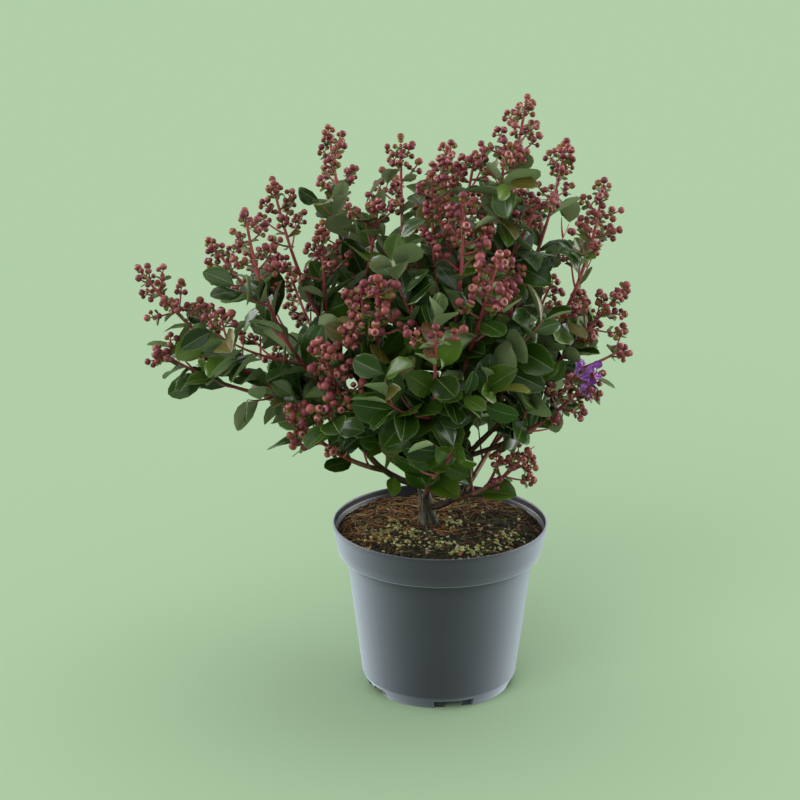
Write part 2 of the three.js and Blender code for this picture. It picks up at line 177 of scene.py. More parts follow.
def closed_faces(rings, columns, turned_from):
    """Faces of one closed sheet: a pole point, rings of columns points each, and a pole point.
    Quads join each ring to the next, and triangles join the first and last rings to the poles. From
    column turned_from on, quads start at their next corner, so that they split the other way."""
    ring = 1 + np.arange(rings * columns).reshape(rings, columns)
    beside = np.roll(ring, -1, axis=1)
    quads = np.stack([ring[:-1], beside[:-1], beside[1:], ring[1:]], axis=-1)
    quads[:, turned_from:] = np.roll(quads[:, turned_from:], -1, axis=-1)
    quads = quads.reshape(-1, 4)
    first = np.stack([np.zeros(columns, int), beside[0], ring[0]], axis=-1)
    last = np.stack([ring[-1], beside[-1], np.full(columns, rings * columns + 1)], axis=-1)
    return quads, np.concatenate([first, last])


def build(name, points, columns, materials, finish=0, sharp=40, turned_from=None):
    """Puts copies of a closed sheet into one mesh. points is (copies, 1 + rings * columns + 1, 3).
    finish is the number of the material for each copy, band and column, where a band is the faces
    between two rings and the caps are the first and last bands."""
    copies, count, _ = points.shape
    rings = (count - 2) // columns
    quads, caps = closed_faces(rings, columns, columns if turned_from is None else turned_from)
    offset = (np.arange(copies) * count)[:, None, None]
    quads, caps = (quads + offset).reshape(-1, 4), (caps + offset).reshape(-1, 3)
    corners = np.concatenate([quads.ravel(), caps.ravel()])
    starts = np.concatenate([np.arange(len(quads)) * 4, quads.size + np.arange(len(caps)) * 3])
    mesh = bpy.data.meshes.new(name)
    mesh.vertices.add(copies * count)
    mesh.vertices.foreach_set("co", (points * MM).astype(np.float32).ravel())
    mesh.loops.add(len(corners))
    mesh.loops.foreach_set("vertex_index", corners.astype(np.int32))
    mesh.polygons.add(len(starts))
    mesh.polygons.foreach_set("loop_start", starts.astype(np.int32))
    finish = np.broadcast_to(finish, (copies, rings + 1, columns))
    numbers = np.concatenate([finish[:, 1:-1].ravel(), finish[:, [0, -1]].ravel()])
    mesh.polygons.foreach_set("material_index", numbers.astype(np.int32))
    mesh.update(calc_edges=True)
    for material in materials:
        mesh.materials.append(material)
    mesh.shade_smooth()
    mesh.set_sharp_from_angle(angle=np.radians(sharp))
    return add_object(name, mesh)


def rounded(corners, radii, steps):
    """Rounds the corners of profiles side by side, (corner, column, radius and height). Each corner
    but the first and last is cut back by its radius, or by 0.4 of the way to the next corner, and a
    quadratic arc of that many steps takes its place."""
    here = corners[1:-1]

    def cut_towards(neighbour):
        way = neighbour - here
        return here + way * np.minimum(radii / np.linalg.norm(way, axis=-1, keepdims=True), 0.4)

    t = np.linspace(0, 1, steps)[:, None, None]
    before, after = cut_towards(corners[:-2])[:, None], cut_towards(corners[2:])[:, None]
    arcs = (1 - t) ** 2 * before + 2 * t * (1 - t) * here[:, None] + t**2 * after
    return arcs.reshape(-1, *corners.shape[1:])


def turned(profile, angles):
    """Rings of points from profiles round the upright axis: (radius cos a, radius sin a, height)."""
    radius, height = profile[..., 0], profile[..., 1]
    return np.stack([radius * np.cos(angles), radius * np.sin(angles), height], axis=-1)


def between_poles(first, rings, last):
    """The points of one closed sheet: its first pole, its rings in order, and its last pole."""
    return np.concatenate([[first], rings.reshape(-1, 3), [last]])[None]


def pot_columns():
    """Angles of the pot's columns, with a close pair of them at each side of each window and gap,
    and for each column whether it crosses a window's recess and whether it crosses its open gap."""
    centres = NOTCH["first"] + 360 / NOTCH["count"] * np.arange(NOTCH["count"])
    widths = np.array([NOTCH["gap_width"], NOTCH["width"]])
    half_widths = np.degrees(np.arcsin(widths / 2 / FOOT["radius"]))
    edges = [(side, step) for side in (-1, 1) for step in (-NOTCH["pair"], NOTCH["pair"])]
    pairs = np.array([side * half + step for half in half_widths for side, step in edges])
    even = np.arange(0, 360, 360 / POT_COLUMNS)
    angles = np.sort(np.concatenate([even, (centres[:, None] + pairs).ravel() % 360]))
    offset = np.abs((angles[:, None] - centres + 180) % 360 - 180).min(axis=1)
    return np.radians(angles), offset < half_widths[1], offset < half_widths[0]


pot_angles, in_recess, in_gap = pot_columns()
slope = (WALL["knee_radius"] - FOOT["radius"]) / WALL["knee_height"]
notch_top = (FOOT["radius"] + slope * NOTCH["height"], NOTCH["height"])
# The ring's inner foot, its outer foot and the window's head, where the wall is whole, thin or open
FOOT_CORNERS = {
    "whole": [
        (FOOT["ring_inside"], 0),
        (FOOT["radius"], 0),
        (FOOT["radius"] + slope * FOOT["bend"], FOOT["bend"]),
        notch_top,
    ],
    "recess": [
        (FOOT["ring_inside"], 0),
        (FOOT["radius"] - NOTCH["recess"], 0),
        (FOOT["radius"] - NOTCH["recess"], NOTCH["height"]),
        notch_top,
    ],
    "gap": [
        (FOOT["ring_inside"], FOOT["floor_under"]),
        (FOOT["ring_inside"] + 0.5, NOTCH["height"]),
        (FOOT["ring_inside"] + 4, NOTCH["height"]),
        notch_top,
    ],
}
lip_inside, band_inside = LIP_RADIUS - WALL["thickness"], BAND["radius"] - WALL["thickness"]
UNDERSIDE_CORNERS = [
    (0, 0),
    (BOSS["radius"], 0),
    (BOSS["radius"] + 3.5, FOOT["floor_under"]),
    (FOOT["ring_inside"] - 1.5, FOOT["floor_under"]),
]
WALL_CORNERS = [
    (WALL["knee_radius"], WALL["knee_height"]),
    (WALL["top_radius"], BAND["foot_height"] - 2.5),
    (BAND["foot_radius"], BAND["foot_height"]),
    (BAND["radius"] + 0.2, POT_HEIGHT - 20),
    (LIP_RADIUS - 0.5, POT_HEIGHT - 5),
    (LIP_RADIUS, POT_HEIGHT - 1.2),
    (LIP_RADIUS - 0.9, POT_HEIGHT),
    (lip_inside, POT_HEIGHT - 0.8),
    (lip_inside - 0.4, POT_HEIGHT - 6),
    (band_inside, POT_HEIGHT - 8.8),
    (BAND["foot_radius"] - WALL["thickness"], BAND["foot_height"] + 1.8),
    (WALL["top_radius"] - WALL["thickness"], BAND["foot_height"] - 1.6),
    (WALL["knee_radius"] - 1.5, WALL["knee_height"] + 3),
    (FOOT["ring_inside"], FOOT["floor_top"] + 3),
    (FOOT["ring_inside"] - 2.5, FOOT["floor_top"]),
    (BOSS["radius"] + 5.5, FOOT["floor_top"]),
    (BOSS["radius"] + 1, BOSS["top"]),
    (0, BOSS["top"]),
]
whole, recess, gap = (np.array(FOOT_CORNERS[kind])[:, None] for kind in ("whole", "recess", "gap"))
foot_corners = np.where(in_gap[:, None], gap, np.where(in_recess[:, None], recess, whole))


def for_all_columns(corners):
    """The same corners for every column of the pot."""
    return np.repeat(np.array(corners, float)[:, None], len(pot_angles), axis=1)


pot_profile = rounded(
    np.concatenate([for_all_columns(UNDERSIDE_CORNERS), foot_corners, for_all_columns(WALL_CORNERS)]),
    radii=0.9,
    steps=POT_ARC_STEPS,
)
pot_points = between_poles((0, 0, 0), turned(pot_profile, pot_angles), (0, 0, BOSS["top"]))

# Injection-moulded polypropylene: satin, with a fine mould grain that softens its highlights, and a
# thin film of dust that dulls it in patches
POT_COLOURS = {"plastic": 0x0E0D12, "dusty": 0x151418, "film": 0xE4ECFF, "inside": 0x1C1B20}
POT_GRAIN = 0.9
DUST_PATCH = 38
satin_polypropylene, tree, shader = new_finish(
    "satin_polypropylene",
    Specular_IOR_Level=0.3,
    Sheen_Weight=1.0,
    Sheen_Roughness=0.52,
    Sheen_Tint=linear(POT_COLOURS["film"]),
)
place = add_node(tree, "TexCoord", {}).outputs["Object"]
cloudy = {"Vector": place, "Scale": 1 / (DUST_PATCH * MM), "Detail": 5.0, "Roughness": 0.6}
dust = add_node(tree, "TexNoise", cloudy).outputs["Fac"]
grain = add_node(tree, "TexNoise", {"Vector": place, "Scale": 1 / (POT_GRAIN * MM), "Detail": 2.0})
patches = add_node(tree, "MapRange", {"Value": dust, "From Min": 0.42, "From Max": 0.72})
ends = {6: linear(POT_COLOURS["plastic"]), 7: linear(POT_COLOURS["dusty"])}
plastic = add_node(tree, "Mix", {0: patches.outputs["Result"]} | ends, data_type="RGBA")
dulled = {"Value": dust, "From Min": 0.3, "From Max": 0.7, "To Min": 0.36, "To Max": 0.47}
tree.links.new(plastic.outputs[2], shader.inputs["Base Color"])
tree.links.new(add_node(tree, "MapRange", dulled).outputs["Result"], shader.inputs["Roughness"])
bump = add_node(tree, "Bump", {"Height": grain.outputs["Fac"], "Strength": 0.12, "Distance": 0.25 * MM})
tree.links.new(bump.outputs["Normal"], shader.inputs["Normal"])

# The inside, which no dust has reached: the same plastic without its dull film, so darker at its
# edges and shinier
clean_polypropylene, _, _ = new_finish(
    "clean_polypropylene",
    Base_Color=linear(POT_COLOURS["inside"]),
    Roughness=0.36,
    Specular_IOR_Level=0.4,
)
pot_finishes = [satin_polypropylene, clean_polypropylene]
is_inside = np.arange(len(pot_profile) + 1) > POT_ARC_STEPS * INSIDE_CORNER
pot_finish = is_inside.astype(int)[None, :, None]
pot = build("nursery_pot", pot_points, len(pot_angles), pot_finishes, pot_finish, sharp=50)
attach(pot, "root")
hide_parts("pot")


# Potting mix: coir and peat fill the pot to just under its lip. The top is rough, lies a little lower
# along the wall, and is drawn up smooth round the trunk's foot.
MIX = {"top": 146, "foot": 7.5, "radius": 88.9, "drop_from": 62, "edge_drop": 2.6}
MIX_RIPPLES = {"waves": 40, "finest": 3.5, "coarsest": 34, "height": 1.5}
DRAWN_UP = {"height": 1.2, "within": (5, 16), "smooth_within": (4, 22)}  # round the trunk's foot
MIX_GRID = {"columns": 260, "rings": 96, "innermost": 0.012}
TRUNK_FOOT = np.array([-10.0, 6.0])


def ripples(places, waves, finest, coarsest, seed):
    """A seeded sum of sine waves over places, in random directions and with wavelengths from finest
    to coarsest, the long ones higher. It runs from about -1 to 1."""
    random = np.random.default_rng(seed)
    length = finest * (coarsest / finest) ** random.random(waves)
    direction = random.normal(size=(waves, places.shape[-1]))
    direction /= np.linalg.norm(direction, axis=1, keepdims=True)
    phase = places @ (direction / length[:, None]).T + random.random(waves)
    height = np.sqrt(length)
    return np.sin(2 * np.pi * phase) @ height / np.sqrt((height**2).sum() * 1.5)


def smooth(value, low, high):
    """0 below low and 1 above high, with 3 s^2 - 2 s^3 of the share s between them."""
    share = np.clip((value - low) / (high - low), 0, 1)
    return share**2 * (3 - 2 * share)


def mix_height(places):
    """Height of the mix's top at places (x, y): its level, less a drop along the wall, plus ripples
    that fade out round the trunk's foot."""
    radius = np.linalg.norm(places, axis=-1)
    from_trunk = np.linalg.norm(places - TRUNK_FOOT, axis=-1)
    waves, finest, coarsest, height = MIX_RIPPLES.values()
    rough = ripples(places, waves, finest, coarsest, seed=4) * height
    rough *= smooth(from_trunk, *DRAWN_UP["smooth_within"])
    drawn_up = DRAWN_UP["height"] * (1 - smooth(from_trunk, *DRAWN_UP["within"]))
    drop = MIX["edge_drop"] * smooth(radius, MIX["drop_from"], MIX["radius"])
    return MIX["top"] - drop + rough + drawn_up


mix_angles = np.linspace(0, 2 * np.pi, MIX_GRID["columns"], endpoint=False)
# The mix's foot and side, each a radius and a height, a little inside the pot's floor and wall
MIX_SIDE = [(FOOT["ring_inside"] - 4, MIX["foot"]), (66.4, 15), (80, 122.6), (87.2, 127), (88.7, 141)]
side_rings = turned(np.repeat(np.array(MIX_SIDE)[:, None], len(mix_angles), axis=1), mix_angles)
mix_radii = MIX["radius"] * np.linspace(1, MIX_GRID["innermost"], MIX_GRID["rings"])[:, None]
mix_flat = np.stack([mix_radii * np.cos(mix_angles), mix_radii * np.sin(mix_angles)], axis=-1)
top_rings = np.concatenate([mix_flat, mix_height(mix_flat)[..., None]], axis=-1)
mix_middle = (0, 0, mix_height(np.zeros(2)))
mix_rings = np.concatenate([side_rings, top_rings])
mix_points = between_poles((0, 0, MIX["foot"]), mix_rings, mix_middle)

# Damp coir and peat: matt and dark, in crumbs of a few millimetres that turn from peat to red-brown
# coir, with dark green moss in patches, more of them towards the front and the right
MIX_COLOURS = {"peat": 0x17110B, "coir": 0x5E4426, "moss": 0x20250E}
MOSSY_WAY = (0.5, -0.87, 0)
CRUMB, MOSS_PATCH = 4, 30
damp_coir, tree, shader = new_finish("damp_coir", Roughness=0.92, Specular_IOR_Level=0.25)
place = add_node(tree, "TexCoord", {}).outputs["Object"]
crumbly = {"Vector": place, "Scale": 1 / (CRUMB * MM), "Detail": 8.0, "Roughness": 0.7}
crumbs = add_node(tree, "TexNoise", crumbly).outputs["Fac"]
patches = add_node(tree, "TexNoise", {"Vector": place, "Scale": 1 / (MOSS_PATCH * MM), "Detail": 3.0})
coir_share = add_node(tree, "MapRange", {"Value": crumbs, "From Min": 0.42, "From Max": 0.62})
forward = add_node(tree, "VectorMath", {0: place, 1: MOSSY_WAY}, operation="DOT_PRODUCT")
leaning_forward = {0: forward.outputs["Value"], 1: 2.2, 2: patches.outputs["Fac"]}
mossy = add_node(tree, "Math", leaning_forward, operation="MULTIPLY_ADD").outputs[0]
moss_share = add_node(tree, "MapRange", {"Value": mossy, "From Min": 0.5, "From Max": 0.6})
ends = {6: linear(MIX_COLOURS["peat"]), 7: linear(MIX_COLOURS["coir"])}
coir = add_node(tree, "Mix", {0: coir_share.outputs["Result"]} | ends, data_type="RGBA")
ends = {6: coir.outputs[2], 7: linear(MIX_COLOURS["moss"])}
mossy_coir = add_node(tree, "Mix", {0: moss_share.outputs["Result"]} | ends, data_type="RGBA")
tree.links.new(mossy_coir.outputs[2], shader.inputs["Base Color"])
bump = add_node(tree, "Bump", {"Height": crumbs, "Strength": 0.9, "Distance": 1.5 * MM})
tree.links.new(bump.outputs["Normal"], shader.inputs["Normal"])

mix = build("potting_mix_body", mix_points, MIX_GRID["columns"], [damp_coir], sharp=60)
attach(mix, "root")
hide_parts("potting_mix")


# Litter on the mix: coir and bark fibres, moss strands, flat chips of bark, and round grains of
# slow-release feed that gather in front. All of it lies loose, half sunk in the top.
FIBRES = {"count": 3000, "length": (5, 24), "radius": (0.18, 0.55), "rise": 1.3, "rings": 5, "columns": 4}
CHIPS = {"count": 130, "length": (4, 13), "width": (0.9, 2.3), "rise": 0.8, "rings": 3, "columns": 6}
GRAINS = {"count": 360, "radius": (0.8, 1.5), "strewn": 0.14, "rings": 4, "columns": 7}
CLEAR_OF_WALL, CLEAR_OF_TRUNK = 4, 9
# x, y and radius of the patches with no moss
BARE_COIR = np.array([(5, -10, 12), (-70, -20, 7), (-47, -30, 6), (-25, 52, 20)])
MOSS_EDGE = (-8, 14)  # how far along the mossy way the moss begins, and how much that varies
GRAIN_DRIFTS = [  # x, y and spread of each drift of feed grains
    (-40, -5, 9),
    (-50, -27, 11),
    (-36, -42, 12),
    (-22, -20, 9),
    (2, -46, 11),
    (17, -62, 9),
    (32, -60, 11),
    (50, -44, 12),
    (60, -26, 10),
    (13, 5, 6),
]


def unit(vectors):
    """Vectors brought to length 1."""
    return vectors / np.linalg.norm(vectors, axis=-1, keepdims=True)


def along(curves, t):
    """Points and unit tangents of quadratic curves, each a start, a middle and an end, at shares t:
    (1 - t)^2 start + 2 t (1 - t) middle + t^2 end."""
    t = np.asarray(t, float)[..., None]
    start, middle, end = curves[..., None, 0, :], curves[..., None, 1, :], curves[..., None, 2, :]
    points = (1 - t) ** 2 * start + 2 * t * (1 - t) * middle + t**2 * end
    return points, unit((1 - t) * (middle - start) + t * (end - middle))


def tubes(curves, t, radius, columns):
    """Closed tubes round quadratic curves. A ring at share t is centre + radius (across cos a + over
    sin a), where over is square to the curve's own plane. The poles are the first and last centres."""
    centres, tangents = along(curves, t)
    oblique = np.array([0.31, 0.53, 0.79])
    over = np.cross(curves[:, 1] - curves[:, 0], curves[:, 2] - curves[:, 0])
    over = unit(over + 1e-4 * np.cross(tangents[:, 0], oblique))[:, None]
    across = unit(np.cross(over, tangents))
    a = (2 * np.pi * np.arange(columns) / columns)[:, None]
    radius = np.broadcast_to(radius, (*centres.shape[:2], columns))[..., None]
    ring = centres[:, :, None] + radius * (across[:, :, None] * np.cos(a) + over[:, :, None] * np.sin(a))
    rows = ring.reshape(len(curves), -1, 3)
    return np.concatenate([centres[:, :1], rows, centres[:, -1:]], axis=1)


def scattered(random, count):
    """Seeded places all over the mix's top, 3 mm clear of its edge, and clear of the trunk's foot."""
    angle = random.random(4 * count) * 2 * np.pi
    radius = (MIX["radius"] - 3) * np.sqrt(random.random(4 * count))
    places = np.stack([radius * np.cos(angle), radius * np.sin(angle)], axis=-1)
    return places[np.linalg.norm(places - TRUNK_FOOT, axis=1) > CLEAR_OF_TRUNK][:count]


def lying(random, count, lengths, rise):
    """Curves that lie on the mix: from a seeded place each runs in a seeded direction, bent to one
    side, with its ends pressed to the top and its middle raised a little."""
    middle = scattered(random, count)
    turn = random.random(count) * 2 * np.pi
    way = np.stack([np.cos(turn), np.sin(turn)], axis=-1) * lengths[:, None] / 2
    bend = np.stack([-way[:, 1], way[:, 0]], axis=-1) * random.uniform(-0.5, 0.5, (count, 1))
    flat = np.stack([middle - way, middle + bend, middle + way], axis=1)
    reach = np.linalg.norm(flat, axis=-1, keepdims=True)
    flat *= np.minimum(1, (MIX["radius"] - 1.5) / reach)
    height = mix_height(flat) + random.uniform(-0.3, rise, (count, 3))
    return np.concatenate([flat, height[..., None]], axis=-1)


def matt_finish(name, colour, crumb):
    """A matt natural finish: one colour that darkens by a third in crumbs of that size."""
    made, tree, shader = new_finish(name, Roughness=0.85, Specular_IOR_Level=0.3)
    place = add_node(tree, "TexCoord", {}).outputs["Object"]
    noise = add_node(tree, "TexNoise", {"Vector": place, "Scale": 1 / (crumb * MM), "Detail": 3.0})
    full = np.array(linear(colour))
    dark = (*(full[:3] * 0.66), 1.0)
    mixed = add_node(tree, "Mix", {0: noise.outputs["Fac"], 6: dark, 7: tuple(full)}, data_type="RGBA")
    tree.links.new(mixed.outputs[2], shader.inputs["Base Color"])
    return made


random = np.random.default_rng(21)
# Coir fibre, peat and moss: matt, from near black through red-brown to straw and moss green. Each has
# its colour, and its share of the fibres in the moss and outside it
FIBRE_KINDS = {
    "coir_red_brown": (0x6C4425, 0.05, 0.3),
    "coir_dark": (0x20180F, 0.5, 0.16),
    "coir_tan": (0x94713E, 0.02, 0.3),
    "moss_dark": (0x212810, 0.33, 0.05),
    "moss_olive": (0x4E5424, 0.08, 0.09),
    "straw_pale": (0xA58C5C, 0.02, 0.1),
}
fibre_finishes = [matt_finish(name, colour, 2) for name, (colour, _, _) in FIBRE_KINDS.items()]
count = FIBRES["count"]
fibre_lengths = random.uniform(*FIBRES["length"], count) * random.uniform(0.5, 1, count)
fibre_curves = lying(random, count, fibre_lengths, FIBRES["rise"])
fibre_t = np.linspace(0, 1, FIBRES["rings"])
fibre_taper = np.array([0.4, 1, 1, 0.8, 0.3])[None, :, None]
fibre_radius = random.uniform(*FIBRES["radius"], (count, 1, 1)) * fibre_taper
fibre_places = fibre_curves[:, 1, :2]
from_bare = np.linalg.norm(fibre_places[:, None] - BARE_COIR[:, :2], axis=-1)
bare = (from_bare < BARE_COIR[:, 2]).any(axis=1)
in_moss = (fibre_places @ np.array(MOSSY_WAY)[:2] > random.normal(*MOSS_EDGE, count)) & ~bare
moss_shares, coir_shares = ([kind[part] for kind in FIBRE_KINDS.values()] for part in (1, 2))
sums = np.cumsum(np.where(in_moss[:, None], moss_shares, coir_shares), axis=1)
fibre_finish = (random.random((count, 1)) > sums).sum(axis=1).clip(0, len(fibre_finishes) - 1)
fibre_finish = fibre_finish[:, None, None]
fibre_points = tubes(fibre_curves, fibre_t, fibre_radius, FIBRES["columns"])
fibres = build("coir_fibres", fibre_points, FIBRES["columns"], fibre_finishes, fibre_finish)
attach(fibres, "root")

# Bark chips: matt and torn, orange-brown inside and greyer outside
CHIP_COLOURS = {"bark_chip_orange": 0x86552B, "bark_chip_brown": 0x5B3F26, "bark_chip_grey": 0x8C7260}
chip_finishes = [matt_finish(name, colour, 3) for name, colour in CHIP_COLOURS.items()]
count = CHIPS["count"]
chip_curves = lying(random, count, random.uniform(*CHIPS["length"], count), CHIPS["rise"])
chip_width = random.uniform(*CHIPS["width"], (count, 1, 1)) * np.array([0.55, 1, 0.5])[None, :, None]
ragged = random.uniform(0.6, 1.3, (count, CHIPS["rings"], CHIPS["columns"]))
chip_t = np.linspace(0.05, 0.95, CHIPS["rings"])
chip_points = tubes(chip_curves, chip_t, chip_width * ragged, CHIPS["columns"])
# Each chip is pressed flat, to 0.4 of its round shape, about a level half a millimetre over the mix
chip_level = mix_height(chip_points[..., :2])
chip_points[..., 2] = chip_level + 0.5 + (chip_points[..., 2] - chip_level - 0.5) * 0.4
chip_finish = random.choice(3, count, p=[0.4, 0.4, 0.2])[:, None, None]
chips = build("bark_chips", chip_points, CHIPS["columns"], chip_finishes, chip_finish, sharp=30)
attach(chips, "root")


def balls(centres, radii, axes, rings, columns, shape=1.0):
    """Closed balls: at angle p from the axis the ring's radius is r sin p and its height r cos p. The
    axis runs from the first pole to the last, and shape scales the points of the unit ball."""
    p = np.pi * (1 - (np.arange(rings) + 1) / (rings + 1))[:, None]
    a = 2 * np.pi * np.arange(columns) / columns
    rows = np.stack([np.sin(p) * np.cos(a), np.sin(p) * np.sin(a), np.cos(p) + 0 * a], axis=-1)
    whole = between_poles((0, 0, -1), rows * shape, (0, 0, 1))
    side = unit(np.cross(axes, [0.61, 0.35, 0.71]))
    turn = np.stack([side, np.cross(axes, side), axes], axis=1)
    return centres[:, None] + (whole * radii[:, None, None]) @ turn


# Coated feed grains: little round prills with a thin resin coat, so a soft shine on pale straw green
grain_finishes = []
GRAIN_COLOURS = {"grain_straw": 0x7A7A3C, "grain_cream": 0x95935C, "grain_green": 0x5E6A2C}
for name, colour in GRAIN_COLOURS.items():
    resin, _, _ = new_finish(name, Base_Color=linear(colour), Roughness=0.42, Subsurface_Weight=0.15)
    resin.node_tree.nodes["Principled BSDF"].inputs["Subsurface Radius"].default_value = (MM, MM, MM)
    grain_finishes.append(resin)
count = GRAINS["count"]
drift = random.integers(0, len(GRAIN_DRIFTS), count)
drifts = np.array(GRAIN_DRIFTS, float)
grain_places = drifts[drift, :2] + random.normal(size=(count, 2)) * drifts[drift, 2:] * 0.62
strewn = random.random(count) < GRAINS["strewn"]
grain_places[strewn] = scattered(random, count)[strewn]
inside = np.linalg.norm(grain_places, axis=1) < MIX["radius"] - CLEAR_OF_WALL
clear = np.linalg.norm(grain_places - TRUNK_FOOT, axis=1) > CLEAR_OF_TRUNK
grain_places = grain_places[inside & clear]
count = len(grain_places)
grain_radii = random.uniform(*GRAINS["radius"], count)
grain_heights = mix_height(grain_places) + grain_radii * random.uniform(0.3, 0.95, count)
grain_centres = np.concatenate([grain_places, grain_heights[:, None]], axis=1)
grain_axes = unit(random.normal(size=(count, 3)))
grain_points = balls(grain_centres, grain_radii, grain_axes, GRAINS["rings"], GRAINS["columns"])
grain_finish = random.choice(3, count, p=[0.5, 0.2, 0.3])[:, None, None]
grains = build("feed_grains", grain_points, GRAINS["columns"], grain_finishes, grain_finish, sharp=80)
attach(grains, "root")


# Trunk: one short woody stem that leans a little to the left and flares into the mix. Its thin brown
# bark splits lengthways, and algae have greened it near the ground.
TRUNK = {"tip": (-28, 8), "height": 76, "bow": 3, "foot_radius": 5.9, "tip_radius": 4, "flare": 0.42}
TRUNK_FOOT_LEVEL = {"above": 0.35, "sunk": 5}  # from the mix's top to the drawn foot, and its first ring
TRUNK_GRID = {"rings": 110, "columns": 44}
BARK = {"relief": 0.34, "waves": 34, "finest": 1.3, "coarsest": 9, "stretch": 4.5}


def barked(points, columns):
    """Raises bark on tubes: each ring's points move out from its centre by ripples over their place
    round the limb and along it, where the ripples are drawn out lengthways. They are lower on thin
    limbs, and each limb has its own."""
    rings = points[:, 1:-1].reshape(len(points), -1, columns, 3)
    centres = rings.mean(axis=2, keepdims=True)
    steps = np.linalg.norm(np.diff(centres, axis=1, prepend=centres[:, :1]), axis=-1, keepdims=True)
    length = np.cumsum(steps, axis=1) / BARK["stretch"]
    outward = rings - centres
    radius = np.linalg.norm(outward, axis=-1, keepdims=True)
    a = (2 * np.pi * np.arange(columns) / columns)[:, None]
    apart = 37.0 * np.arange(len(points))[:, None, None, None]
    places = [radius * np.cos(a) + apart, radius * np.sin(a), np.broadcast_to(length, radius.shape)]
    places = np.concatenate(places, axis=-1)
    relief = ripples(places, BARK["waves"], BARK["finest"], BARK["coarsest"], seed=8)
    height = BARK["relief"] * np.clip(radius / 4, 0.5, 1.6) * relief[..., None]
    points[:, 1:-1] = (rings + outward / radius * height).reshape(len(points), -1, 3)
    return points


def bark_finish(name, colours, streak):
    """Smooth thin bark: matt, in lengthways streaks of that width that turn from one colour to the
    next, with a finer bump over them."""
    made, tree, shader = new_finish(name, Roughness=0.68, Specular_IOR_Level=0.35)
    place = add_node(tree, "TexCoord", {}).outputs["Object"]
    drawn_out = add_node(tree, "Mapping", {"Vector": place, "Scale": (1, 1, 0.22)}).outputs["Vector"]
    streaky = {"Vector": drawn_out, "Scale": 1 / (streak * MM), "Detail": 4.0}
    streaks = add_node(tree, "TexNoise", streaky).outputs["Fac"]
    share = add_node(tree, "MapRange", {"Value": streaks, "From Min": 0.38, "From Max": 0.64})
    ends = {0: share.outputs["Result"], 6: linear(colours[0]), 7: linear(colours[1])}
    mixed = add_node(tree, "Mix", ends, data_type="RGBA")
    tree.links.new(mixed.outputs[2], shader.inputs["Base Color"])
    bump = add_node(tree, "Bump", {"Height": streaks, "Strength": 0.5, "Distance": 0.5 * MM})
    tree.links.new(bump.outputs["Normal"], shader.inputs["Normal"])
    return made


trunk_foot = [*TRUNK_FOOT, MIX["top"] + TRUNK_FOOT_LEVEL["above"]]
trunk_middle = [TRUNK_FOOT[0] - TRUNK["bow"], TRUNK_FOOT[1], MIX["top"] + TRUNK["height"] / 2]
trunk_curve = np.array([trunk_foot, trunk_middle, [*TRUNK["tip"], MIX["top"] + TRUNK["height"]]])
t = np.linspace(0, 1, TRUNK_GRID["rings"])[:, None]
a = 2 * np.pi * np.arange(TRUNK_GRID["columns"]) / TRUNK_GRID["columns"]
taper = TRUNK["foot_radius"] + (TRUNK["tip_radius"] - TRUNK["foot_radius"]) * t
# Four flutes that fade out above the foot, and an oval section that turns slowly with the height
flutes = 1 + 0.13 * np.exp(-9 * t) * np.cos(4 * a + 0.8) + 0.05 * np.cos(2 * a + 5 * t)
trunk_radius = taper * (1 + TRUNK["flare"] * np.exp(-7 * t)) * flutes
trunk_points = barked(tubes(trunk_curve[None], t[:, 0], trunk_radius[None], len(a)), len(a))
trunk_points[0, : 1 + len(a), 2] -= TRUNK_FOOT_LEVEL["sunk"]

# Crape myrtle bark: thin and smooth, brown with paler streaks where the old skin has split. Algae make
# it greener up to an uneven edge at about 0.3 of the trunk's height
brown_bark = bark_finish("brown_bark", (0x1C150F, 0x453527), 1.6)
green_bark = bark_finish("greened_bark", (0x17160B, 0x33331A), 2.2)
green_edge = 0.3 + 0.12 * np.sin(5 * a + 1) * np.sin(2 * a)
is_green = np.arange(TRUNK_GRID["rings"] + 1)[:, None] < green_edge * TRUNK_GRID["rings"]
trunk_finish = is_green.astype(int)[None]
trunk = build("trunk_bark", trunk_points, len(a), [brown_bark, green_bark], trunk_finish)
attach(trunk, "root")
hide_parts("trunk")


# Boughs: thirteen woody limbs that leave the trunk one above the other, each sagging first and then
# turning up. Their bark is the trunk's, a little thinner, and redder towards their tips.
BOUGH = {"sag": 0.12, "base_radius": 3, "tip_radius": 2.3, "red_from": 0.62, "rings": 46, "columns": 18}
BOUGHS = {  # each bough's height above the mix where it leaves the trunk, and its tip
    "low_right": (14, (22, -6, 182)),
    "low_front": (26, (-10, -36, 198)),
    "low_left": (34, (-62, -12, 216)),
    "low_back": (40, (-24, 48, 212)),
    "right": (46, (34, -6, 226)),
    "front": (50, (-2, -36, 234)),
    "back_left": (54, (-60, 44, 230)),
    "back_right": (58, (16, 44, 236)),
    "front_left": (61, (-54, -34, 240)),
    "left": (65, (-72, 4, 244)),
    "top_right": (69, (16, 12, 262)),
    "top_left": (73, (-56, 12, 268)),
    "top": (76, (-24, -2, 276)),
}


def limb_curve(start, tip, sag):
    """A limb that sets out low and turns up: the middle point of its quadratic curve lies sag lengths
    further out and sag lengths lower than the middle of the straight line from start to tip."""
    start, tip = np.asarray(start, float), np.asarray(tip, float)
    outward = unit((tip - start) * [1, 1, 0])
    middle = (start + tip) / 2 + sag * np.linalg.norm(tip - start) * (outward - UP)
    return np.stack([start, middle, tip])


def chord_sums(curve):
    """200 even steps of t along a curve, and the summed chords from its start to each."""
    steps = np.linspace(0, 1, 201)
    chords = np.linalg.norm(np.diff(along(curve, steps)[0], axis=0), axis=1)
    return steps, np.concatenate([[0.0], np.cumsum(chords)])


def length_of(curve):
    """A curve's length."""
    return chord_sums(curve)[1][-1]


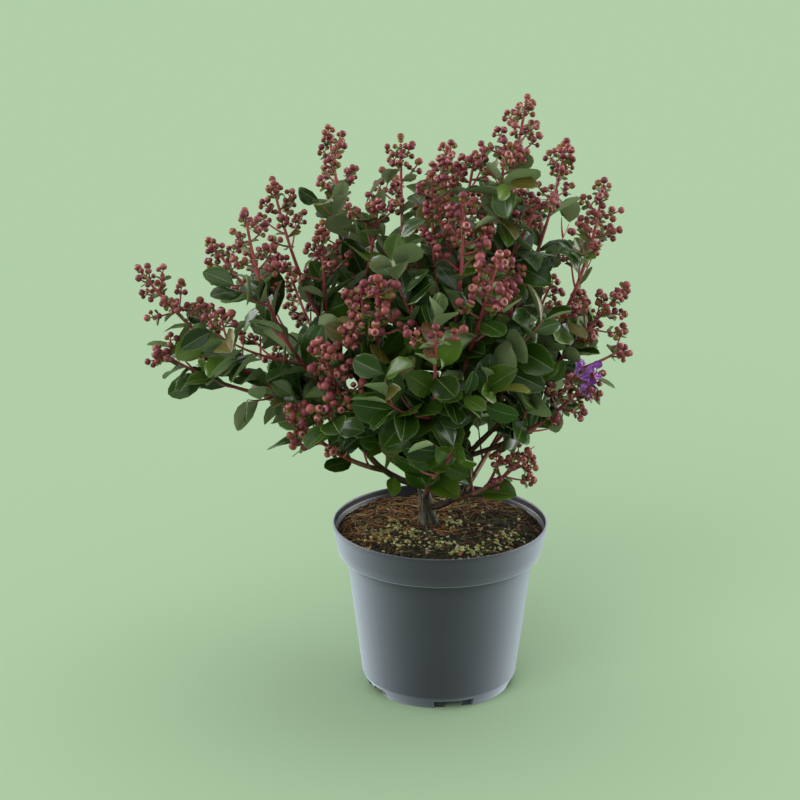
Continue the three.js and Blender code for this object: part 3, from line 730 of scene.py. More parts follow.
def at_share(curve, share):
    """Points and unit tangents where a curve has run these shares of its length."""
    steps, sums = chord_sums(curve)
    points, tangents = along(curve, np.interp(np.asarray(share) * sums[-1], sums, steps))
    return points.reshape(*np.shape(share), 3), tangents.reshape(*np.shape(share), 3)


bough_curves = {
    name: limb_curve(at_share(trunk_curve, height / TRUNK["height"])[0], tip, BOUGH["sag"])
    for name, (height, tip) in BOUGHS.items()
}
t = np.linspace(0, 1, BOUGH["rings"])
bough_radius = BOUGH["base_radius"] + (BOUGH["tip_radius"] - BOUGH["base_radius"]) * t
bough_stack = np.stack(list(bough_curves.values()))
bough_points = tubes(bough_stack, t, bough_radius[None, :, None], BOUGH["columns"])
bough_points = barked(bough_points, BOUGH["columns"])

# Younger bark of the same kind: smoother, and reddened where last year's growth begins
red_brown_bark = bark_finish("red_brown_bark", (0x38231A, 0x674232), 1.4)
is_red = np.arange(BOUGH["rings"] + 1) > BOUGH["red_from"] * BOUGH["rings"]
bough_finish = is_red.astype(int)[None, :, None]
bough_finishes = [brown_bark, red_brown_bark]
boughs = build("boughs_bark", bough_points, BOUGH["columns"], bough_finishes, bough_finish)
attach(boughs, "root")
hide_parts(*[f"bough_{name}" for name in BOUGHS])


# Shoots: this year's growth. Each mass of foliage is a leading shoot from its bough's tip with side
# shoots, grown by the rule of the part's source, and then finer twigs that leave them between leaves.
SHOOT = {"base_radius": 2.4, "tip_radius": 1.15, "leafy_tip_radius": 0.35, "sag": 0.09, "tip_inset": 4}
# Side shoots leave at a share of a leading shoot, lean by degrees from it, and are a share as long as
# what is left of it. Room under shoots is measured down to "above" over the crown's underside.
SIDE = {"radius": 1.8, "share": (0.3, 0.46), "lean": (34, 48), "length": (0.62, 0.82), "above": 25}
TWIG = {"radius": 1.15, "gap": 40, "lean": (36, 58), "length": (24, 42), "above": 12, "room": 9}
REACH_MARGIN = 16  # how far a twig's end stays inside the plant's box, for the leaves on it
# The share of each kind of shoot that ends in a panicle, at most, and the heights it rises between
BLOOMING = {"side": 0.8, "twig": 0.3, "height": (250, 390)}
# A panicle's length on a leading shoot, the share of that on a side shoot, and the length on a twig
PANICLE = {"length": 68, "on_side": 0.75, "on_twig": 18, "whorl_gap": 14}
# Shoots whose panicles don't follow the rule, by seed: their lengths, 0 for those leafy to the tip
LEAFY_SHOOTS = (13, 128, 137, 1072, 1119, 1122, 1132, 1134, 2022, 2122, 2136, 3019)
OWN_PANICLES = {19: 20, 118: 16, 134: 26} | dict.fromkeys(LEAFY_SHOOTS, 0)
UNDERSIDE = {"height": POT_HEIGHT + 4, "rise": 0.38}
STEM_GRID = {"rings": 22, "columns": 8, "joints": 9}
LAST_BUDS = 5  # how far before a shoot's end its stem stops and its last buds begin
FIRST_SEED = 11  # of the masses' leading shoots, in order
FIRST_SPRAY_SEED = 70
MASSES = {  # each mass's bough, the tip of its leading shoot, and how many side shoots it has
    "low_right": ("low_right", (76, -52, 236), 1),
    "low_right_back": ("low_right", (84, 62, 272), 1),
    "low_front": ("low_front", (14, -110, 262), 1),
    "low_left_front": ("low_left", (-126, -90, 286), 2),
    "low_left_back": ("low_left", (-150, 62, 292), 2),
    "low_back": ("low_back", (-34, 150, 282), 2),
    "right_blooms": ("right", (134, -46, 306), 1),
    "right": ("right", (158, -14, 372), 1),
    "front_low": ("front", (-4, -146, 370), 2),
    "front": ("front", (46, -120, 422), 2),
    "back_left_low": ("back_left", (-140, 126, 346), 1),
    "back_left": ("back_left", (-96, 124, 432), 1),
    "back_right_low": ("back_right", (104, 118, 346), 1),
    "back_right": ("back_right", (62, 116, 436), 1),
    "front_left_low": ("front_left", (-98, -116, 350), 1),
    "front_left": ("front_left", (-50, -126, 404), 1),
    "far_left": ("left", (-256, -30, 388), 1),
    "left_back": ("left", (-203, 32, 398), 1),
    "right_top": ("top_right", (136, -18, 462), 1),
    "crown_tip": ("top_right", (70, -20, 532), 1),
    "right_top_back": ("top_right", (108, 54, 482), 1),
    "left_top": ("top_left", (-162, -58, 444), 1),
    "left_top_back": ("top_left", (-146, 28, 453), 1),
    "left_crown": ("top_left", (-98, 42, 496), 1),
    "crown_back": ("top", (-36, 62, 484), 1),
    "crown": ("top", (8, 18, 487), 1),
    "crown_front": ("top", (18, -72, 460), 1),
}
# Shoots that stand out by themselves: the mass, where on its leading shoot, the tip and the panicle
SPRAYS = [
    ("far_left", 0.3, (-240, -34, 317), 26),
    ("crown", 0.4, (27, -22, 482), 40),
    ("crown_front", 0.4, (-8, -30, 474), 34),
    ("crown_tip", 0.55, (50, -44, 496), 36),
    ("crown_tip", 0.4, (78, -40, 446), 24),
]
# Sky that the camera sees through the crown: x, height and radius on the upright plane y = 0
OPENINGS = [
    (-43, 422, 10),
    (-40, 446, 9),
    (-92, 468, 7),
    (-120, 415, 7),
    (-123, 394, 12),
    (-130, 364, 9),
    (-127, 337, 15),
    (-176, 338, 10),
    (-150, 300, 12),
    (-168, 312, 11),
    (-185, 266, 14),
    (-77, 277, 8),
    (-2, 289, 6),
    (-64, 194, 23),
    (-98, 206, 18),
    (38, 226, 17),
    (98, 355, 12),
    (84, 403, 7),
    (105, 414, 10),
    (148, 418, 25),
    (162, 352, 20),
    (140, 386, 12),
    (161, 318, 14),
    (158, 292, 14),
    (-68, 439, 8),
    (10, 458, 6),
    (-84, 304, 6),
    (-102, 246, 7),
    (150, 334, 9),
    (-47, 483, 11),
    (-30, 471, 9),
    (89, 442, 10),
    (133, 362, 11),
    (143, 316, 10),
    (-112, 341, 8),
    (-190, 326, 9),
    (106, 374, 9),
    (-156, 258, 9),
]
FOLIAGE_NODES = [f"foliage_{name}" for name in MASSES]


def chance(seed, draw):
    """The seeded number from 0 to 1 of the part's source: what follows the point in
    43758.5453 sin(12.9898 seed + 78.233 draw)."""
    wave = np.sin(seed * 12.9898 + draw * 78.233) * 43758.5453
    return wave - np.floor(wave)


def between(seed, draw, low, high):
    """A seeded number from low to high."""
    return low + (high - low) * chance(seed, draw)


def shoot_frame(curve, share):
    """A point on a shoot, and the directions along it, across it and over it, as rows."""
    point, tangent = at_share(curve, share)
    across = unit(np.cross(tangent, UP))
    return point, np.stack([tangent, across, np.cross(across, tangent)])


def leaning(directions, lean, azimuth):
    """A direction that leans from a shoot's own line, towards an azimuth round it."""
    lean, azimuth = np.radians(lean), np.radians(azimuth)
    shares = [np.cos(lean), np.sin(lean) * np.cos(azimuth), np.sin(lean) * np.sin(azimuth)]
    return np.array(shares) @ directions


def panicle_on(curve, share):
    """The length of the panicle at a shoot's end, no more than 0.55 of the shoot."""
    return min(PANICLE["length"] * share, length_of(curve) * 0.55)


def lines_of(curve, steps):
    """The straight lines between points spaced evenly along a curve."""
    points, _ = at_share(curve, np.linspace(0, 1, steps + 1))
    return np.stack([points[:-1], points[1:]], axis=1)


def distance_to(lines, points):
    """From each point to the nearest of the lines: its foot on a line is kept between the ends."""
    start, way = lines[:, 0], lines[:, 1] - lines[:, 0]
    share = np.clip(((points[:, None] - start) * way).sum(-1) / (way**2).sum(-1), 0, 1)
    return np.linalg.norm(points[:, None] - start - way * share[..., None], axis=-1).min(axis=1)


def above_underside(points):
    """Height above the crown's lower face, which rises outwards from over the pot."""
    out = np.linalg.norm(points[..., :2] - TRUNK["tip"], axis=-1)
    return points[..., 2] - UNDERSIDE["height"] - UNDERSIDE["rise"] * out


def in_an_opening(points):
    """Whether the camera sees any of the points in an opening: its line to a point crosses the plane
    y = 0 at place + (point - place) * depth / (depth + y), where depth is its distance from there."""
    place, opening = np.array(CAMERA["place"]), np.array(OPENINGS, float)
    crossing = place + (points - place) * place[1] / (place[1] - points[:, 1:2])
    away = np.linalg.norm(crossing[:, None, [0, 2]] - opening[:, :2], axis=-1)
    return (away < opening[:, 2]).any()


def blooms(kind, curve, seed):
    """Whether a shoot ends in a panicle: fewer do low in the crown, and none in an opening."""
    share = BLOOMING[kind] * smooth(curve[2, 2], *BLOOMING["height"])
    return chance(seed, 6) < share and not in_an_opening(curve[2:])


def leading_shoot(name, bough, tip, seed):
    """A mass's leading shoot. The highest on a bough leaves from its very tip, and each lower one
    0.35 of the bough's length before it, with more sag."""
    higher = sum(other == bough and end[2] > tip[2] for other, end, _ in MASSES.values())
    start, _ = at_share(bough_curves[bough], 1 - 0.35 * higher)
    end = np.array(tip) - unit(np.array(tip) - start) * SHOOT["tip_inset"]
    curve = limb_curve(start, end, SHOOT["sag"] * (0.2 + higher))
    panicle = OWN_PANICLES.get(seed, panicle_on(curve, 1))
    return {"curve": curve, "kind": "leader", "panicle": panicle, "seed": seed, "mass": name}


shoots = [
    leading_shoot(name, bough, tip, FIRST_SEED + number)
    for number, (name, (bough, tip, _)) in enumerate(MASSES.items())
]
leaders = list(shoots)
skeletons = {shoot["mass"]: lines_of(shoot["curve"], 8) for shoot in leaders}
limb_lines = np.concatenate([lines_of(curve, 6) for curve in [trunk_curve, *bough_curves.values()]])


def side_shoot(leader, side):
    """A side shoot of a leading shoot. Of eight azimuths it takes the one whose middle and end have
    most room from everything that has grown so far."""
    own, mass = leader["seed"] + 100 * side, leader["mass"]
    share = between(own, 1, *SIDE["share"])
    lean = between(own, 2, *SIDE["lean"])
    origin, directions = shoot_frame(leader["curve"], share)
    length = length_of(leader["curve"]) * (1 - share) * between(own, 4, *SIDE["length"])
    others = [lines for name, lines in skeletons.items() if name != mass]
    others = np.concatenate([limb_lines, *others])
    candidates, rooms = [], []
    for number in range(8):
        direction = unit(leaning(directions, lean, 45 * number + between(own, 3, 0, 45)) + 0.15 * UP)
        curve = limb_curve(origin, origin + direction * length, SHOOT["sag"])
        places, _ = at_share(curve, np.array([0.5, 1]))
        room = np.minimum(above_underside(places) - SIDE["above"], distance_to(others, places))
        room[1] = min(room[1], distance_to(skeletons[mass], places[1:])[0])
        candidates.append(curve)
        rooms.append(room.min())
    curve = candidates[int(np.argmax(rooms))]
    skeletons[mass] = np.concatenate([skeletons[mass], lines_of(curve, 6)])
    panicle = panicle_on(curve, PANICLE["on_side"]) if blooms("side", curve, own) else 0
    panicle = OWN_PANICLES.get(own, panicle)
    return {"curve": curve, "kind": "side", "panicle": panicle, "seed": own, "mass": mass}


for leader in leaders:
    for side in range(1, MASSES[leader["mass"]][2] + 1):
        shoots.append(side_shoot(leader, side))

leader_curves = {shoot["mass"]: shoot["curve"] for shoot in leaders}
for seed, (mass, share, tip, panicle) in enumerate(SPRAYS, FIRST_SPRAY_SEED):
    curve = limb_curve(at_share(leader_curves[mass], share)[0], tip, SHOOT["sag"])
    shoots.append({"curve": curve, "kind": "side", "panicle": panicle, "seed": seed, "mass": mass})
    skeletons[mass] = np.concatenate([skeletons[mass], lines_of(curve, 6)])

reach_low, reach_high = (np.array(corner) / MM for corner in cad_box)


def inside_reach(points, margin):
    """Whether each point lies that far inside the whole plant's box."""
    return ((points > reach_low + margin) & (points < reach_high - margin)).all(axis=-1)


def twigs_of(shoot):
    """Finer twigs on a shoot's leafy part, one about every 40 mm. Each takes the azimuth of eight
    that has most room, and is left out where there is too little."""
    length, mass = length_of(shoot["curve"]), shoot["mass"]
    leafy = length - shoot["panicle"]
    grown = []
    for number in range(round(leafy / TWIG["gap"])):
        own = shoot["seed"] + 1000 * (number + 1)
        share = leafy * (number + 0.55) / round(leafy / TWIG["gap"]) / length
        origin, directions = shoot_frame(shoot["curve"], share)
        reach = between(own, 4, *TWIG["length"])
        lean = between(own, 2, *TWIG["lean"])
        lines = np.concatenate([limb_lines, *skeletons.values()])
        best = None
        for azimuth in 45 * np.arange(8) + between(own, 3, 0, 45):
            direction = unit(leaning(directions, lean, azimuth) + 0.2 * UP)
            curve = limb_curve(origin, origin + direction * reach, SHOOT["sag"])
            end = curve[2:]
            room = min(distance_to(lines, end)[0], above_underside(end)[0] - TWIG["above"])
            room = room if inside_reach(end, REACH_MARGIN).all() and not in_an_opening(end) else -1
            if best is None or room > best[0]:
                best = (room, curve)
        room, curve = best
        if room > TWIG["room"]:
            panicle = OWN_PANICLES.get(own, PANICLE["on_twig"] if blooms("twig", curve, own) else 0)
            skeletons[mass] = np.concatenate([skeletons[mass], lines_of(curve, 3)])
            grown.append({"curve": curve, "kind": "twig", "panicle": panicle, "seed": own, "mass": mass})
    return grown


twigs = [twig for shoot in list(shoots) for twig in twigs_of(shoot)]
shoots += twigs

BASE_RADII = {"leader": SHOOT["base_radius"], "side": SIDE["radius"], "twig": TWIG["radius"]}
base_radii = np.array([BASE_RADII[shoot["kind"]] for shoot in shoots])[:, None]
in_bloom = np.array([shoot["panicle"] > 0 for shoot in shoots])[:, None]
blooming_radii = np.minimum(SHOOT["tip_radius"], base_radii * 0.6)
tip_radii = np.where(in_bloom, blooming_radii, SHOOT["leafy_tip_radius"])
t = np.linspace(0, 1, STEM_GRID["rings"])
# Stems swell by a sixteenth at even steps along them, as at the joints that bear leaves
joints = 1 + 0.16 * np.clip(np.cos(2 * np.pi * STEM_GRID["joints"] * t), 0.6, 1) - 0.1
stem_radius = (base_radii + (tip_radii - base_radii) * t) * joints
stem_curves = np.stack([shoot["curve"] for shoot in shoots])
drawn = np.array([1 - LAST_BUDS / length_of(shoot["curve"]) for shoot in shoots])[:, None]
stem_points = tubes(stem_curves, t * drawn, stem_radius[..., None], STEM_GRID["columns"])

# Green wood: smooth and satin under its skin, brown where it is oldest, then tan, then red, and a
# pinkish red up to the panicle. A younger kind of shoot starts further on in this row.
stem_finishes = [red_brown_bark]
for name, colour in {"tan_stem": 0x7E5646, "red_stem": 0x82383C, "pink_stem": 0x9C4A4C}.items():
    skin, _, _ = new_finish(name, Base_Color=linear(colour), Roughness=0.46, Specular_IOR_Level=0.45)
    stem_finishes.append(skin)
STEM_SHIFTS = {"leader": 0.0, "side": 0.3, "twig": 0.55}
shift = np.array([STEM_SHIFTS[shoot["kind"]] for shoot in shoots])[:, None]
shift = shift + 0.16 * chance(np.array([shoot["seed"] for shoot in shoots]), 9)[:, None]
band = np.arange(STEM_GRID["rings"] + 1) / STEM_GRID["rings"] * (1 - 0.4 * shift) + shift
stem_finish = (band > 0.3).astype(int) + (band > 0.48) + (band > 0.8)
stems = build("shoot_stems", stem_points, STEM_GRID["columns"], stem_finishes, stem_finish[:, :, None])
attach(stems, "root")
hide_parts(*FOLIAGE_NODES)


# Panicles: at the end of each shoot, opposite pairs of short red branchlets, each carrying round
# flower buds in fives on short stalks. One panicle low on the right has opened its first flowers.
BRANCHLET = {"reach": 23, "lean": (42, 66), "swing": (-30, 30), "radius": 0.8, "rings": 6, "columns": 6}
BUD = {"radius": (2.95, 3.65), "front": (30, 110), "pressed": 0.84, "rings": 5, "columns": 12}
STALK = {"length": 2.4, "radius": 0.5, "rings": 3, "columns": 5}
CLEAR_OF_FLOWERS = 7
# Where on the low right panicle's shoot each open flower's stalk begins, and where it stands
FLOWERS = [
    (0.8, (118, -50, 306)),
    (0.78, (123, -52, 292)),
    (0.9, (130, -50, 304)),
]
branchlets, stalks, buds, bract_sites = [], [], [], []
flower_places = np.array([place for _, place in FLOWERS], float)


def square_to(direction, azimuth):
    """A unit direction square to another, turned round it by an azimuth."""
    side = unit(np.cross(direction, [0.27, 0.83, 0.49]))
    azimuth = np.radians(azimuth)
    return side * np.cos(azimuth) + np.cross(direction, side) * np.sin(azimuth)


def add_bud(node, direction, stalk, radius):
    """A bud on a stalk, unless it would press too far into a bud that is there already, stand out of
    the plant's box, or hide an open flower."""
    centre = node + direction * (stalk + radius * 0.96)
    if any(np.linalg.norm(centre - other) < BUD["pressed"] * (radius + size) for other, _, size in buds):
        return
    if not inside_reach(centre, radius - 4):
        return
    if np.linalg.norm(flower_places - centre, axis=1).min() < CLEAR_OF_FLOWERS:
        return
    buds.append((centre, direction, radius))
    stalks.append(limb_curve(node, node + direction * (stalk + 0.5), 0.03))


def add_cluster(branchlet, seed, radius, back):
    """Five buds on a branchlet's end: one straight on, and two opposite pairs that lean out, each
    turned a quarter from the other. The lower pair stands that far back, over two small bracts."""
    end, heading = at_share(branchlet, 1.0)
    turn = between(seed, 32, 0, 180)
    add_bud(end, heading, STALK["length"], radius * between(seed, 31, 0.92, 1.12))
    for pair, behind in enumerate((0, back)):
        for hand in (0, 1):
            draw = 32 + 10 * pair + 3 * hand
            side = square_to(heading, turn + 90 * pair + 180 * hand)
            out = unit(heading * between(seed, draw + 1, 0.35, 0.75) + side)
            size = radius * between(seed, draw + 2, 0.66, 1.06)
            node = end - heading * behind
            add_bud(node, out, STALK["length"] * between(seed, draw + 3, 0.7, 1.3), size)
            if pair:
                way = unit(heading * 0.5 + square_to(heading, turn + 180 * hand))
                bract_sites.append((node, way, seed + draw, between(seed, draw + 4, 5, 9)))


def grow_panicle(shoot):
    """Whorls of branchlets along a shoot's end, from 0.92 of the panicle's length before its tip to
    about 0.12, each pair turned a quarter from the last and shorter than it, and a cluster of buds at
    the very tip. Buds are larger towards the front, and branchlets shorter on twigs."""
    curve, seed, panicle = shoot["curve"], shoot["seed"], shoot["panicle"]
    length = length_of(curve)
    tip, tangent = at_share(curve, 1 - LAST_BUDS / length)
    small, large = BUD["radius"]
    radius = small + (large - small) * smooth(-tip[1], *BUD["front"])
    add_cluster(np.array([tip - 9 * tangent, tip - 4.5 * tangent, tip]), seed, radius, 5)
    whorls = max(1, round(panicle / PANICLE["whorl_gap"]))
    for whorl in range(whorls):
        for hand in (0, 1):
            draw = 200 + 10 * whorl + 5 * hand
            progress = whorl / whorls
            share = 1 - (panicle * (0.92 - 0.8 * progress) - 3 * hand) / length
            node, directions = shoot_frame(curve, share)
            lean = between(seed, draw + 1, *BRANCHLET["lean"])
            turn = 90 * whorl + 180 * hand + between(seed, draw, *BRANCHLET["swing"])
            reach = BRANCHLET["reach"] * (1 - 0.6 * progress) * between(seed, draw + 2, 0.75, 1.2)
            reach *= 0.6 if shoot["kind"] == "twig" else 1
            out = leaning(directions, lean, turn)
            branchlet = limb_curve(node, node + out * reach, 0.08)
            branchlets.append(branchlet)
            size = between(seed + draw, 41, 7, 18) * (1 - 0.33 * progress)
            bract_sites.append((node, leaning(directions, lean + 22, turn), seed + draw, size))
            add_cluster(branchlet, seed + draw, radius, min(5.5, 0.6 * reach))


for shoot in shoots:
    if shoot["panicle"] > 0:
        grow_panicle(shoot)

for share, place in FLOWERS:
    node, _ = at_share(leader_curves["right_blooms"], share)
    branchlets.append(limb_curve(node, place, 0.08))

t = np.linspace(0, 1, BRANCHLET["rings"])
branchlet_radius = BRANCHLET["radius"] * (1.15 - 0.35 * t)[None, :, None]
branchlet_points = tubes(np.stack(branchlets), t, branchlet_radius, BRANCHLET["columns"])
# Their skin is that of the young stems: branchlets red, and every third bud stalk pinkish
RED, PINKISH = 2, 3
branchlet_stems = build("panicle_branchlets", branchlet_points, BRANCHLET["columns"], stem_finishes, RED)
stalk_t = np.linspace(0, 1, STALK["rings"])
stalk_points = tubes(np.stack(stalks), stalk_t, STALK["radius"], STALK["columns"])
stalk_finish = np.where(np.arange(len(stalks)) % 3 == 1, PINKISH, RED)[:, None, None]
bud_stalks = build("bud_stalks", stalk_points, STALK["columns"], stem_finishes, stalk_finish)
for piece in (branchlet_stems, bud_stalks):
    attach(piece, "root")
    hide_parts(*FOLIAGE_NODES)

# Flower buds: six thick calyx lobes closed over the petals in low ridges, waxy and softly shiny.
# They are maroon and rose, most of them olive below, some up to the middle, and some have a paler
# ring round a darker point, where the ring is a painted highlight.
BUD_COLOURS = {
    "bud_maroon": 0x65262F,
    "bud_rose": 0x854041,
    "bud_dusky": 0x71342D,
    "bud_dark": 0x541A26,
    # The pale ring round a bud's tip: a painted highlight
    "bud_pale": 0x9C6259,
    "bud_olive": 0x84602A,
    "bud_green": 0x84803A,
}
BUD_SHARES = {"bodies": (0.43, 0.23, 0.34), "olive_below": 0.75, "ringed": 0.36}
DARK, RING_HIGHLIGHT, OLIVE, GREEN = 3, 4, 5, 6
bud_finishes = []
for name, colour in BUD_COLOURS.items():
    skin, tree, shader = new_finish(name, Roughness=0.5, Specular_IOR_Level=0.4, IOR=1.45)
    place = add_node(tree, "TexCoord", {}).outputs["Object"]
    bloom = add_node(tree, "TexNoise", {"Vector": place, "Scale": 1 / (2.5 * MM), "Detail": 2.0})
    full = np.array(linear(colour))[:3]
    deep, pale = (*(full * 0.7), 1.0), (*(full * 1.3), 1.0)
    skin_colour = add_node(tree, "Mix", {0: bloom.outputs["Fac"], 6: deep, 7: pale}, data_type="RGBA")
    tree.links.new(skin_colour.outputs[2], shader.inputs["Base Color"])
    bud_finishes.append(skin)

random = np.random.default_rng(5)
bud_centres, axes, radii = (np.array([bud[part] for bud in buds]) for part in range(3))
# Each ring's share of the ball's radius, from the narrow foot up, and the lobes' ridges round it
ridges = 1 + 0.05 * (-1.0) ** np.arange(BUD["columns"])[None, :, None]
lobes = np.array([0.84, 0.97, 1, 1.02, 0.96])[:, None, None] * ridges
bud_points = balls(bud_centres, radii, axes, BUD["rings"], BUD["columns"], lobes)
size = (len(buds), 1)
bodies = random.choice(3, len(buds), p=BUD_SHARES["bodies"])[:, None]
is_olive = random.random(size) < BUD_SHARES["olive_below"]
below = np.where(is_olive, random.choice([OLIVE, GREEN], size), bodies)
ringed = random.random(size) < BUD_SHARES["ringed"]
middle = np.where(np.arange(len(buds))[:, None] % 3 == 0, below, bodies)
# A ringed bud has a painted highlight in the ring round its tip, and a darker tip
highlight_ring, tip = np.where(ringed, RING_HIGHLIGHT, bodies), np.where(ringed, DARK, bodies)
bud_finish = np.concatenate([below, below, middle, bodies, highlight_ring, tip], axis=1)[:, :, None]
half = len(buds) // 2
for name, part in {"flower_buds_lower": slice(0, half), "flower_buds_upper": slice(half, None)}.items():
    piece = build(name, bud_points[part], BUD["columns"], bud_finishes, bud_finish[part], sharp=80)
    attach(piece, "root")
    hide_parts(*FOLIAGE_NODES)


# Leaves: in pairs along every shoot, each pair turned a quarter from the last, and along the boughs'
# outer halves. The blade is thick, widest past its middle, folded along its midrib, and bends down.
# Its midrib is a narrow pale strip on top and stands out underneath. Narrow pale strips along its margins
# paint a highlight on top.
LEAF = {"length": 51, "width_share": 0.6, "half_thickness": 0.24, "gap": 14.5, "lean": (34, 74)}
STEEPEST_LEAF = -0.3  # the furthest down that a leaf's direction points
LEAF_CLEAR = {"leaves": 5.0, "buds": 5.6, "limbs": 4}
LEAF_ROWS = np.array([0.04, 0.14, 0.32, 0.55, 0.77, 0.93])
# The points across a blade, from edge to edge over its top and back underneath, as shares of the half
# width, and how many half thicknesses each lies above the middle of the blade
LEAF_ACROSS = np.array([-1, -0.95, -0.5, -0.03, 0.03, 0.5, 0.95, 1, 0.5, 0, -0.5])
LEAF_SIDE = np.array([0, 1, 1, 1, 1, 1, 1, 0, -1, -3, -1])
# Columns of the pale strips along both margins, which paint a highlight, and the midrib's column
PAINTED_EDGE_COLUMNS, LEAF_MIDRIB = [0, 6], 3
LEAF_COLUMNS = len(LEAF_ACROSS)
LEAF_UNDER = 7  # the first column underneath
LEAF_TRIES = [(size, turn) for size in (1, 0.86, 0.7) for turn in (0, 30, -30, 60, -60)]
# Where a leaf is tried for room, from its foot to its tip: shares of its half width and its length
LEAF_PROBES = np.array([
    (0, 0.35),
    (-0.8, 0.4),
    (0.8, 0.4),
    (0, 0.62),
    (-0.85, 0.66),
    (0.85, 0.66),
    (-0.4, 0.9),
    (0.4, 0.9),
    (0, 1),
])
PROBE_IN_MIDDLE = 3
NEIGHBOURHOOD = 34  # a leaf is tried against the probes of leaves no further than this from its middle
LEAF_FLOOR = {"close": 12, "above": 29, "near": 35, "far": 80, "more_on_right": 12, "right": (20, 90)}
CROWN_CENTRE = np.array([-20.0, 0.0, 310.0])
MOST_LEAVES = 1550
leaves = []
probed = np.full((MOST_LEAVES * len(LEAF_PROBES), 3), 1e6)


def turned_about(vector, axis, degrees):
    """A vector turned about a unit axis."""
    cos, sin = np.cos(np.radians(degrees)), np.sin(np.radians(degrees))
    return vector * cos + np.cross(axis, vector) * sin + axis * (axis @ vector) * (1 - cos)


def leaf_frame(direction, face):
    """The directions across a leaf, along it and out of its upper side, as rows."""
    across = unit(np.cross(direction, face))
    return np.stack([across, direction, np.cross(across, direction)])


def above_leaf_floor(points):
    """Height above the lowest that leaves hang: close to the trunk the crown's lower face, and
    further out well above it, most of all on the right."""
    out = np.linalg.norm(points[..., :2] - TRUNK["tip"], axis=-1)
    further = LEAF_FLOOR["above"] - LEAF_FLOOR["close"]
    raised = LEAF_FLOOR["close"] + further * smooth(out, LEAF_FLOOR["near"], LEAF_FLOOR["far"])
    raised = raised + LEAF_FLOOR["more_on_right"] * smooth(points[..., 0], *LEAF_FLOOR["right"])
    return above_underside(points) - raised


def probes_of(root, turn_frame, length):
    """Places on a flat leaf of that length where it is tried for room."""
    half = length * LEAF["width_share"] / 2
    across, along_it = LEAF_PROBES.T
    return root + np.stack([across * half, along_it * length, 0 * across], axis=-1) @ turn_frame


def add_leaf(root, turn_frame, length, tint, seed):
    """A leaf, if its blade hangs no lower than others and clears the limbs, buds and other leaves."""
    probes = probes_of(root, turn_frame, length)
    if above_leaf_floor(probes).min() < 0 or not inside_reach(probes, 1).all():
        return False
    if in_an_opening(probes) or distance_to(limb_lines, probes).min() < LEAF_CLEAR["limbs"]:
        return False
    if np.linalg.norm(bud_centres[:, None] - probes, axis=-1).min() < LEAF_CLEAR["buds"]:
        return False
    used = len(leaves) * len(LEAF_PROBES)
    from_middle = np.abs(probed[:used] - probes[PROBE_IN_MIDDLE]).max(axis=1)
    near = probed[:used][from_middle < NEIGHBOURHOOD]
    if len(near) and np.linalg.norm(near[:, None] - probes, axis=-1).min() < LEAF_CLEAR["leaves"]:
        return False
    probed[used : used + len(LEAF_PROBES)] = probes
    leaves.append((root, turn_frame, length, tint, seed))
    return True


def grow_leaves(curve, seed, first, leafy, gap, full_length, tints):
    """Pairs of leaves along part of a curve, from a first length on. Their upper sides face up and out
    of the crown, most rolled by up to 44 degrees and a few right over. A leaf that finds no room is
    turned, then made smaller, and left out if there is none at all."""
    length = length_of(curve)
    pairs = max(1, round(leafy / gap))
    for pair in range(pairs):
        for hand in (0, 1):
            progress = (pair + 0.2 + 0.25 * hand) / pairs
            root, directions = shoot_frame(curve, (first + leafy * progress) / length)
            draw = 10 + 10 * pair + 5 * hand
            size = full_length * between(seed, draw, 0.84, 1.1) * (1 - 0.4 * progress**1.5)
            around = 90 * pair + 180 * hand + between(seed, draw + 1, -25, 25)
            lean, tilt = between(seed, draw + 2, *LEAF["lean"]), between(seed, draw + 3, -1, 1)
            roll = 44 * tilt + 64 * tilt**9
            tint = tints[0] + (tints[1] - tints[0]) * progress
            outward = unit(root - CROWN_CENTRE)
            for share, turn in LEAF_TRIES:
                direction = leaning(directions, lean, around + turn) + 0.08 * UP
                direction = unit(np.array([*direction[:2], max(direction[2], STEEPEST_LEAF)]))
                face = turned_about(0.6 * directions[0] + 0.7 * UP + outward, direction, roll)
                if add_leaf(root, leaf_frame(direction, face), size * share, tint, seed + draw):
                    break


# Leaves in plain sight: the shoot or bough, where on it, the leaf's tip, and how far it is rolled from
# facing the front
SHOWN_FACE = np.array([0.1, -0.75, 0.65])
far_left_spray = shoots[[shoot["seed"] for shoot in shoots].index(FIRST_SPRAY_SEED)]["curve"]
PLACED_LEAVES = [
    (bough_curves["front"], 0.1, (15, -42, 192), 0),
    (bough_curves["front"], 0.8, (-11, -58, 206), 10),
    (bough_curves["front"], 1, (26, -45, 225), 50),
    (leader_curves["front"], 0.2, (-15, -70, 309), 0),
    (leader_curves["front"], 0.22, (39, -75, 296), 0),
    (leader_curves["left_back"], 0.55, (-144, 5, 382), 50),
    (leader_curves["left_back"], 0.52, (-113, -5, 297), 150),
    (leader_curves["far_left"], 0.3, (-143, -15, 303), 0),
    (leader_curves["far_left"], 0.5, (-175, -20, 312), 20),
    (leader_curves["right_top_back"], 0.75, (65, 30, 421), 0),
    (leader_curves["right_blooms"], 0.5, (100, -30, 260), 20),
    (bough_curves["low_left"], 0.5, (-40, -20, 181), 0),
    (leader_curves["low_left_front"], 0.3, (-98, -54, 220), 10),
    (leader_curves["low_right"], 0.3, (66, -34, 190), 0),
    (leader_curves["front"], 0.6, (-12, -128, 334), 128),
    (leader_curves["front"], 0.42, (-1, -116, 292), 150),
    (far_left_spray, 0.62, (-234, -32, 275), 0),
]
for number, (curve, share, tip, roll) in enumerate(PLACED_LEAVES):
    root, _ = at_share(curve, share)
    length = np.linalg.norm(tip - root)
    way = unit(tip - root)
    place = leaf_frame(way, turned_about(SHOWN_FACE, way, roll))
    probed[number * len(LEAF_PROBES) : (number + 1) * len(LEAF_PROBES)] = probes_of(root, place, length)
    leaves.append((root, place, length, 0.1, 500 + number))

